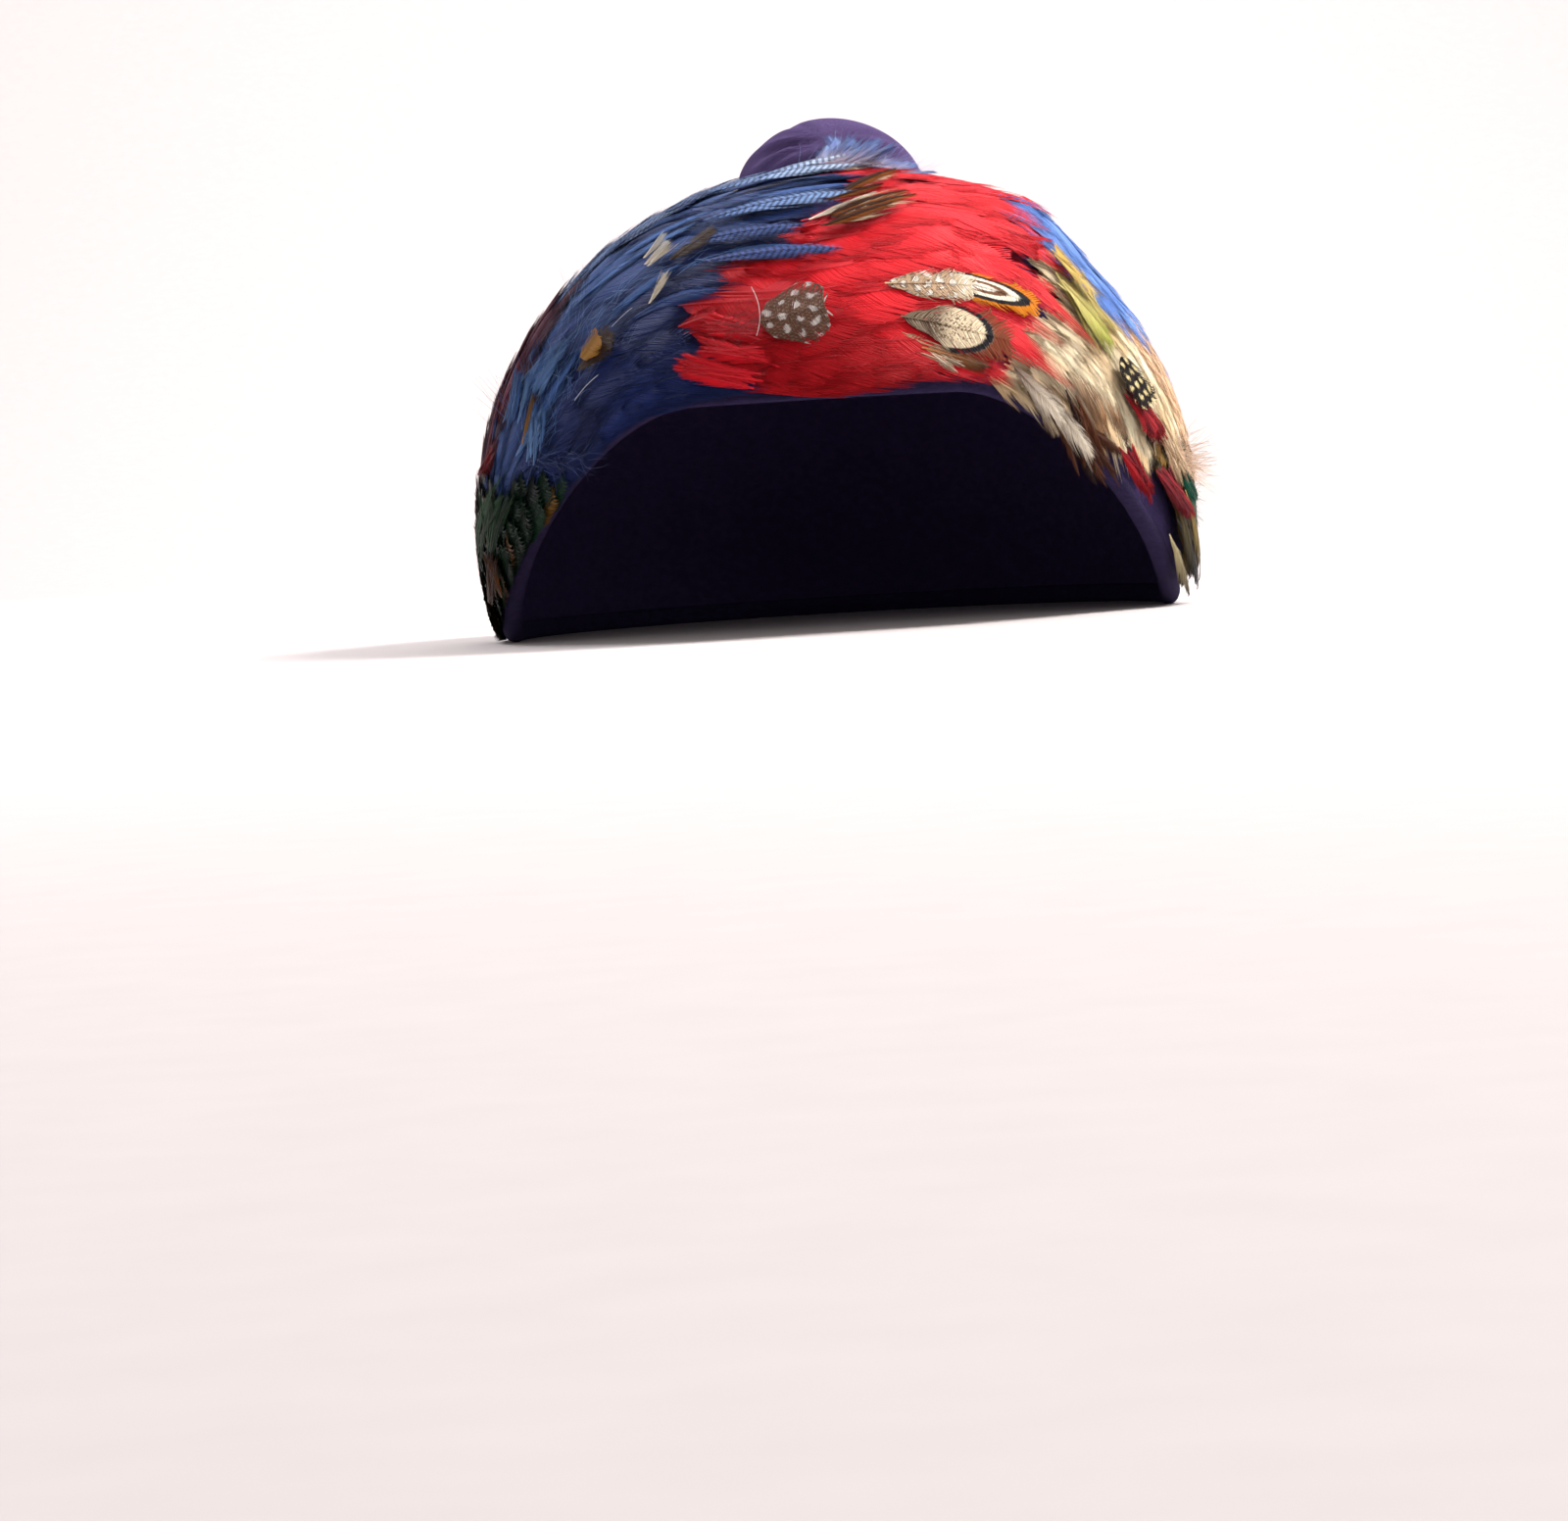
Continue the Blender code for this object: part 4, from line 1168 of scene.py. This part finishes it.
# %% Single feathers
WHITE = (1.0, 1.0, 1.0)  # a pattern brings its own colours
CREAM, GOLD = (1.0, 0.88, 0.70), (0.50, 0.23, 0.025)
BROWN, CRIMSON = (0.060, 0.034, 0.022), (0.36, 0.006, 0.012)
SINGLE = [
    # name, finish, slot, CAD node, then for each feather: kind, root and tip pixel, half width,
    # root dye, tip dye
    ("guinea_plume", guinea, "speckled", "guinea_feather",
     [("round", (778, 334), (848, 320), 0.0075, WHITE, WHITE)]),
    ("lower_pheasant_plume", eyed, "speckled", "pheasant_lower_feather",
     [("body", (918, 326), (1034, 357), 0.0066, WHITE, WHITE)]),
    ("upper_pheasant_plume", flame, "amber", "pheasant_upper_feather",
     [("body", (950, 284), (1060, 322), 0.0048, WHITE, WHITE)]),
    ("spotted_neck_plume", neck, "speckled", "spotted_neck_feather",
     [("body", (902, 293), (996, 300), 0.0044, WHITE, WHITE)]),
    ("dark_spotted_plume", dark_spots, "speckled", "dark_spotted_feather",
     [("round", (1134, 370), (1163, 420), 0.0056, WHITE, WHITE)]),
    ("brown_hackle_plume", streaked, "bronze", "brown_hackle",
     [("hackle", (842, 226), (928, 204), 0.0030, WHITE, WHITE),
      ("hackle", (862, 198), (916, 184), 0.0020, WHITE, WHITE),
      ("hackle", (856, 206), (900, 190), 0.0016, WHITE, WHITE),
      ("hackle", (848, 232), (936, 214), 0.0024, WHITE, WHITE),
      ("hackle", (838, 242), (912, 224), 0.0022, WHITE, WHITE),
      ("hackle", (842, 218), (902, 206), 0.0014, WHITE, WHITE)]),
    ("barred_plume_upper", barred, "light_blue", "barred_hackle_1",
     [("hackle", (720, 230), (880, 206), 0.0040, (0.08, 0.17, 0.44), (0.30, 0.46, 0.80)),
      ("hackle", (724, 204), (886, 180), 0.0036, (0.12, 0.24, 0.56), (0.62, 0.76, 0.98)),
      ("hackle", (770, 192), (868, 172), 0.0026, (0.18, 0.32, 0.66), (0.74, 0.84, 1.0))]),
    ("barred_plume_lower", barred, "navy", "barred_hackle_2",
     [("hackle", (720, 272), (868, 262), 0.0028, (0.05, 0.09, 0.30), (0.09, 0.14, 0.40)),
      ("hackle", (700, 256), (830, 240), 0.0030, (0.05, 0.10, 0.32), (0.08, 0.14, 0.40))]),
    ("lime_plume", soft, "lime", "lime_feather",
     [("hackle", (1080, 290), (1134, 366), 0.0050, (0.70, 0.56, 0.20), (0.34, 0.38, 0.04)),
      ("body", (1070, 256), (1098, 294), 0.0030, (0.66, 0.40, 0.07), (0.78, 0.54, 0.14)),
      ("hackle", (1066, 262), (1112, 312), 0.0030, (0.72, 0.48, 0.10), (0.80, 0.60, 0.20))]),
    ("red_side_plume", smooth_red, "red", "red_side_feather",
     [("body", (1148, 402), (1172, 446), 0.0036, CRIMSON, CRIMSON)]),
    ("cream_tip_plume", soft, "cream", "cream_tip_feather",
     [("body", (686, 270), (736, 240), 0.0028, BROWN, BROWN),
      ("body", (662, 276), (688, 254), 0.0018, CREAM, WHITE),
      ("hackle", (666, 279), (692, 258), 0.0014, CREAM, CREAM),
      ("hackle", (663, 272), (686, 250), 0.0013, CREAM, WHITE)]),
    ("ochre_plume", soft, "amber", "ochre_feather",
     [("body", (594, 382), (634, 342), 0.0042, BROWN, BROWN),
      ("round", (602, 371), (625, 350), 0.0036, GOLD, GOLD)]),
]
CRIMSON_TUFTS = (((1149, 402), (1176, 452), 18), ((1146, 460), (1166, 504), 11),
                 ((1182, 480), (1204, 528), 13))

# %% Laying the single feathers
for seed, (name, finish, slot, node, feathers) in enumerate(SINGLE):
    plume = Plumage(40 + seed)
    for order, (kind, root, tip, half, dye, tip_dye) in enumerate(feathers):
        rise = 0.0004 * order + (0.0010 if kind == "round" else 0.0)
        plume.add_seen(kind, root, tip, half, dye, tip_dye, low=0.0042 + rise,
                       high=0.0056 + rise)
    if name == "red_side_plume":
        for root, tip, count in CRIMSON_TUFTS:
            plume.add_tuft("hackle", root, tip, count, 4, 0.0018, (0.10, 0.004, 0.008),
                           (0.42, 0.008, 0.014), low=0.0040, high=0.0056)
    plume.finish(name, finish, slot, node)

# %% [markdown]
# A few small feathers and spikes stand where two colours meet. These are short, and their roots
# show, because nothing covers them.

# %% Small feathers between the patches
strays = Plumage(60)
for kind, root, tip, half, dye, tip_dye in (
        ("hackle", (536, 454), (552, 402), 0.0020, GOLD, BROWN),
        ("hackle", (666, 314), (684, 284), 0.0015, CREAM, CREAM),
        ("hackle", (826, 227), (898, 203), 0.0015, CREAM, CREAM),
        ("hackle", (940, 356), (1012, 380), 0.0020, (0.55, 0.20, 0.05), BROWN),
        ("hackle", (1030, 372), (1085, 440), 0.0034, (0.10, 0.03, 0.012), CREAM),
        ("hackle", (1060, 398), (1112, 474), 0.0030, (0.07, 0.03, 0.015), CREAM),
        ("hackle", (1196, 500), (1210, 586), 0.0032, (0.10, 0.07, 0.012), (0.01, 0.012, 0.01)),
        ("hackle", (1206, 500), (1217, 596), 0.0020, (0.42, 0.30, 0.08), (0.02, 0.012, 0.01)),
        ("hackle", (1190, 545), (1206, 610), 0.0020, (0.60, 0.50, 0.26), (0.01, 0.008, 0.01)),
        ("hackle", (1198, 530), (1214, 604), 0.0024, (0.01, 0.008, 0.01), (0.01, 0.008, 0.01)),
        ("hackle", (1200, 520), (1212, 600), 0.0018, (0.010, 0.05, 0.022), (0.01, 0.01, 0.012))):
    strays.add_seen(kind, root, tip, half, dye, tip_dye, low=0.0036, high=0.0050)
strays.finish("stray_feathers", soft, "speckled")

# %% [markdown]
# At the ends of the band and at the edges of the patches the feathers break up into small ones.
# A tuft is quicker to place than single feathers: it has a root and a tip in the photograph, a
# number of feathers, how far they scatter in pixels, and a dark and a light dye.

# %% End tufts
ends = Plumage(63)
for root, tip, count, spread, dark, light in (
        ((1203, 504), (1214, 592), 16, 5, (0.008, 0.008, 0.008), (0.16, 0.10, 0.02)),
        ((866, 171), (920, 168), 7, 2, (0.72, 0.42, 0.30), (1.0, 0.84, 0.58)),
        ((1204, 476), (1214, 506), 8, 3, (0.005, 0.050, 0.030), (0.01, 0.16, 0.09)),
        ((1086, 280), (1128, 352), 12, 7, (0.74, 0.58, 0.18), (0.80, 0.80, 0.34)),
        ((1186, 440), (1206, 492), 10, 6, (0.30, 0.14, 0.05), (0.95, 0.70, 0.45)),
        ((1092, 420), (1128, 486), 14, 12, (0.015, 0.006, 0.006), (0.16, 0.050, 0.018)),
        ((1058, 396), (1084, 440), 9, 7, (0.10, 0.04, 0.02), (0.90, 0.70, 0.45)),
        ((500, 560), (512, 500), 16, 8, (0.004, 0.012, 0.008), (0.02, 0.09, 0.03)),
        ((504, 612), (504, 566), 10, 4, (0.006, 0.005, 0.008), (0.16, 0.05, 0.010)),
        ((924, 346), (980, 374), 14, 5, (0.42, 0.15, 0.04), (1.0, 0.88, 0.66)),
        ((502, 458), (496, 482), 8, 3, (0.08, 0.003, 0.008), (0.30, 0.008, 0.020))):
    ends.add_tuft("hackle", root, tip, count, spread, 0.0013, dark, light, low=0.0030,
                  high=0.0042)
ends.finish("end_tufts", soft, "bronze")

# %% [markdown]
# Steel blue hackles run in long curves through the navy patch, where its rows make ridges. Their
# lighter blue is partly their own colour and partly a painted highlight for the light that those
# ridges catch. Each is traced through three places of the photograph. Small pale ones stand round
# their roots at the left.

# %% Steel blue streams
streams = Plumage(61)
for root, middle, tip, half, dye in (
        ((522, 480), (556, 412), (600, 352), 0.0030, (0.045, 0.120, 0.36)),
        ((585, 366), (634, 312), (706, 268), 0.0030, (0.050, 0.135, 0.40)),
        ((676, 284), (756, 256), (862, 262), 0.0026, (0.060, 0.150, 0.42)),
        ((640, 330), (690, 306), (744, 300), 0.0030, (0.030, 0.070, 0.26)),
        ((578, 318), (642, 264), (724, 226), 0.0030, (0.080, 0.190, 0.50)),
        ((590, 296), (660, 244), (742, 214), 0.0030, (0.070, 0.170, 0.48))):
    streams.add_traced("hackle", seen_at(*root), seen_at(*middle), seen_at(*tip), half, dye,
                       low=0.0026, high=0.0038, tilt=0.10)
for root, tip, count, spread in (
        ((530, 408), (588, 350), 16, 9), ((540, 462), (556, 420), 10, 6),
        ((520, 430), (540, 384), 8, 5)):
    streams.add_tuft("hackle", root, tip, count, spread, 0.0013, (0.06, 0.15, 0.42),
                     (0.20, 0.38, 0.74), low=0.0030, high=0.0052)
streams.finish("steel_blue_streams_with_ridge_highlight", satin, "navy")

# %% [markdown]
# Where the red patch meets the navy one, red spikes point the other way, back over the blue. A
# few more stand at the right of the crown.

# %% Red spikes
red_spikes = Plumage(62)
for root, tip, count in (
        ((768, 388), (694, 376), 14), ((792, 342), (716, 337), 16), ((784, 364), (716, 356), 12),
        ((1006, 236), (1062, 262), 9)):
    red_spikes.add_tuft("hackle", root, tip, count, 5, 0.0016, (0.50, 0.006, 0.014),
                        (0.76, 0.010, 0.022), low=0.0032, high=0.0044)
red_spikes.finish("red_spikes", smooth_red, "red")

# %% [markdown]
# ## Down and loose barbs
#
# At the roots of many feathers there is down: fine curly threads that don't lie flat. It shows
# as pale fluff at the left side, in front of the knot and at the right end. Each thread is a
# very narrow strip that leaves its root in a random direction and curls.

# %% Threads of down
def down(plumage, start, end, spread, threads, length, rise, dye, low=0.0030):
    """Threads of down round the line between two directions on the cap."""
    random = plumage.random
    along_turn, to_front = tangents(start)
    main = math.atan2((end - start) @ to_front, (end - start) @ along_turn)
    for _ in range(threads):
        share = random.random()
        place = start * (1 - share) + end * share + random.normal(0, spread / RADIUS, 3) * 0.4
        place /= np.linalg.norm(place)
        own = length * random.uniform(0.5, 1.2)
        steps = np.linspace(0, 1, 7)
        angle = np.cumsum(random.normal(0, 0.12, 7)) + random.normal(0, 0.2)
        flat = np.zeros((1, 7, 3))
        flat[0, :, 0] = np.cumsum(np.cos(angle)) * own / 7
        flat[0, :, 1] = np.cumsum(np.sin(angle)) * own / 7
        flat[0, :, 2] = rise * random.uniform(0.2, 1.2) * steps ** 1.4
        shift = np.zeros_like(flat)
        shift[0, :, 1] = np.linspace(0.00006, 0.00002, 7)
        points, faces, marks = strips(flat, shift, np.array([random.random() * 40]))
        points = lay(points, place, main + random.normal(0, 0.45), own, 1.0, low, low + 0.0006,
                     camber=0.0)
        colour = np.asarray(dye) * random.uniform(0.8, 1.15) + np.zeros((len(points), 1))
        plumage.keep(points, faces, marks, points, colour)


fluff = FeatherFinish("down_finish", roughness=0.6, sheen=0.08)
fluff.paint(fluff.dye, shade=0.85)
print("Made", fluff.material.name)

# %% [markdown]
# At the left, pale blue down stands out of the navy patch, and a few bare quills lie across it.
# A quill is one strip along a curve through three places.

# %% Down and quills at the left
def quill(plumage, pixels, width, dye, lift=0.0060):
    """A bare shaft that runs through some pixels of the photograph."""
    first, middle, last = (seen_at(*pixel) for pixel in pixels)
    share = np.linspace(0, 1, 12)[:, None]
    way = (first * (1 - share) * (1 - 2 * share) + middle * 4 * share * (1 - share)
           + last * share * (2 * share - 1))
    way /= np.linalg.norm(way, axis=1)[:, None]
    ahead = np.gradient(way, axis=0)
    aside = np.cross(ahead, way)
    aside *= (width / 2 / np.linalg.norm(aside, axis=1))[:, None]
    centre = lifted(way, np.full(12, lift) + swell(way))
    points, faces, marks = strips(centre[None], aside[None], np.array([1.0]))
    plumage.keep(points, faces, marks, points, np.asarray(dye) + np.zeros((len(points), 1)))


PALE_BLUE, WHITE_BLUE, PEACH = (0.10, 0.22, 0.52), (0.22, 0.38, 0.72), (0.92, 0.62, 0.42)
blue_down = Plumage(70)
for start, end, spread, threads, rise, dye in (
        ((545, 430), (592, 345), 0.014, 110, 0.0012, PALE_BLUE),
        ((540, 420), (580, 350), 0.010, 40, 0.0030, WHITE_BLUE),
        ((540, 465), (552, 435), 0.006, 60, 0.0008, PALE_BLUE),
        ((535, 468), (600, 468), 0.003, 50, 0.0003, (0.05, 0.09, 0.26)),
        ((600, 330), (700, 258), 0.008, 40, 0.0008, WHITE_BLUE),
        ((520, 430), (535, 380), 0.003, 24, 0.0060, PALE_BLUE)):
    down(blue_down, seen_at(*start), seen_at(*end), spread, threads, 0.010, rise, dye)
quill(blue_down, ((598, 414), (609, 401), (622, 390)), 0.00022, (0.62, 0.64, 0.74))
quill(blue_down, ((634, 342), (645, 331), (654, 324)), 0.00018, (0.60, 0.62, 0.74))
quill(blue_down, ((771, 305), (779, 328), (776, 352)), 0.00016, (0.80, 0.72, 0.70), 0.0070)
down(blue_down, seen_at(503, 450), seen_at(516, 405), 0.002, 22, 0.009, 0.0075,
     (0.16, 0.02, 0.03))
down(blue_down, seen_at(566, 335), seen_at(596, 300), 0.003, 34, 0.009, 0.0065, WHITE_BLUE)
blue_down.finish("blue_down", fluff, "light_blue")

# %% [markdown]
# In front of the knot stands a fan of blue tips with pink and pale fluff at its foot. Threads of
# down make the fluff. The fan is a row of small hackles that stand up, tallest at the left.

# %% Tuft in front of the knot
def band_at(turn, latitude):
    """Direction for two angles of the band in degrees."""
    return band(math.radians(turn), math.radians(latitude))


tuft_down = Plumage(71)
for start, end, spread, threads, length, rise, dye, low in (
        ((1, 13), (8, 11), 0.008, 140, 0.010, 0.0060, (0.30, 0.46, 0.90), 0.0034),
        ((9, 10), (15, 9), 0.006, 120, 0.009, 0.0040, (0.26, 0.38, 0.86), 0.0034),
        ((-2, 15), (10, 13), 0.003, 160, 0.008, 0.0022, (0.85, 0.66, 0.72), 0.0040)):
    down(tuft_down, band_at(*start), band_at(*end), spread, threads, length, rise, dye, low)
random = tuft_down.random
for first, last, count, height in ((1.0, 7, 64, 0.0092), (8, 14, 36, 0.0050)):
    for turn in np.linspace(first, last, count):
        dye = mixed((0.12, 0.27, 0.72), (0.30, 0.50, 0.95), random.random())
        tuft_down.add("hackle", band_at(turn, random.uniform(10, 13)),
                      math.radians(random.normal(-58, 24)), random.uniform(0.006, 0.0105), 0.0014,
                      (0.66, 0.46, 0.58), dye, low=0.0034, high=height * random.uniform(0.6, 1.1))
tuft_down.finish("knot_tuft_down", fluff, "light_blue")

# %% [markdown]
# At the right end, peach down stands off the side over a little green, and some red down lies
# where the red patch begins.

# %% Down at the right
side_down = Plumage(72)
down(side_down, seen_at(1200, 462), seen_at(1216, 476), 0.004, 170, 0.009, 0.0050, PEACH)
down(side_down, seen_at(1208, 492), seen_at(1214, 515), 0.002, 70, 0.006, 0.0025,
     (0.01, 0.16, 0.09))
down(side_down, seen_at(735, 345), seen_at(760, 335), 0.005, 90, 0.007, 0.0010, CRIMSON, 0.0050)
side_down.finish("side_down", fluff, "cream")

# %% [markdown]
# ## Floor, backdrop and light
#
# The hat rests on a pale floor that runs up into a pale backdrop, as a paper roll does in a
# studio. The paper is as wide as a wall, so no edge of it shows.

# %% Paper
PAPER_HALF = 3.5  # half its width in metres


def paper_sweep():
    """A floor that bends up into a backdrop."""
    angle = np.linspace(0, math.pi / 2, 24)[1:]
    profile = [(-3.0, 0.0), (1.6, 0.0)]
    profile += [(1.6 + 0.8 * math.sin(a), 0.8 - 0.8 * math.cos(a)) for a in angle]
    profile += [(2.4, 3.5)]
    points = [(x, y, z) for x in (-PAPER_HALF, PAPER_HALF) for y, z in profile]
    count = len(profile)
    faces = [(i, i + 1, i + 1 + count, i + count) for i in range(count - 1)]
    paper = Finish("pale_paper", Roughness=0.85)
    grain = paper.noise(900.0, detail=2.0)
    paper.set(Base_Color=paper.mix(grain, (0.53, 0.485, 0.48), (0.57, 0.525, 0.52)))
    return new_piece("studio_paper", points, faces, paper)


paper_sweep()
print("The paper is", 2 * PAPER_HALF, "m wide")

# %% [markdown]
# The main light stands high on the right and leaves soft shadows under the feathers. A weaker one
# behind on the left draws that side's outline, and a large one in front fills the shadows. The
# backdrop has its own light, which makes it almost white.

# %% Lights
def lamp(name, place, aim, width, watts, colour):
    """A square lamp that faces what it is aimed at."""
    light = bpy.data.lights.new(name, "AREA")
    light.shape, light.size, light.size_y = "RECTANGLE", width, width
    light.energy, light.color = watts, colour
    stand = bpy.data.objects.new(name, light)
    stand.location = place
    stand.rotation_euler = (Vector(aim) - Vector(place)).to_track_quat("-Z", "Y").to_euler()
    bpy.context.scene.collection.objects.link(stand)


lamp("key", (0.80, 0.10, 0.95), (0, 0, 0.06), 0.4, 31, (1.0, 0.98, 0.96))
lamp("side", (-0.6, 0.5, 1.1), (0, 0, 0.06), 0.5, 9, (0.93, 0.96, 1.0))
lamp("fill", (0.3, -1.5, 0.8), (0, 0, 0.05), 1.0, 5, (1.0, 0.97, 0.95))
lamp("backdrop", (0.0, 1.1, 2.1), (0, 2.4, 0.7), 1.8, 75, (1.0, 0.96, 0.96))

world = bpy.data.worlds.new("studio")
bpy.context.scene.world = world
world.use_nodes = True
world.node_tree.nodes["Background"].inputs["Color"].default_value = (1.0, 0.95, 0.95, 1)
world.node_tree.nodes["Background"].inputs["Strength"].default_value = 0.45
bpy.context.scene.view_settings.view_transform = "Standard"
print("Lights:", ", ".join(item.name for item in bpy.data.lights))
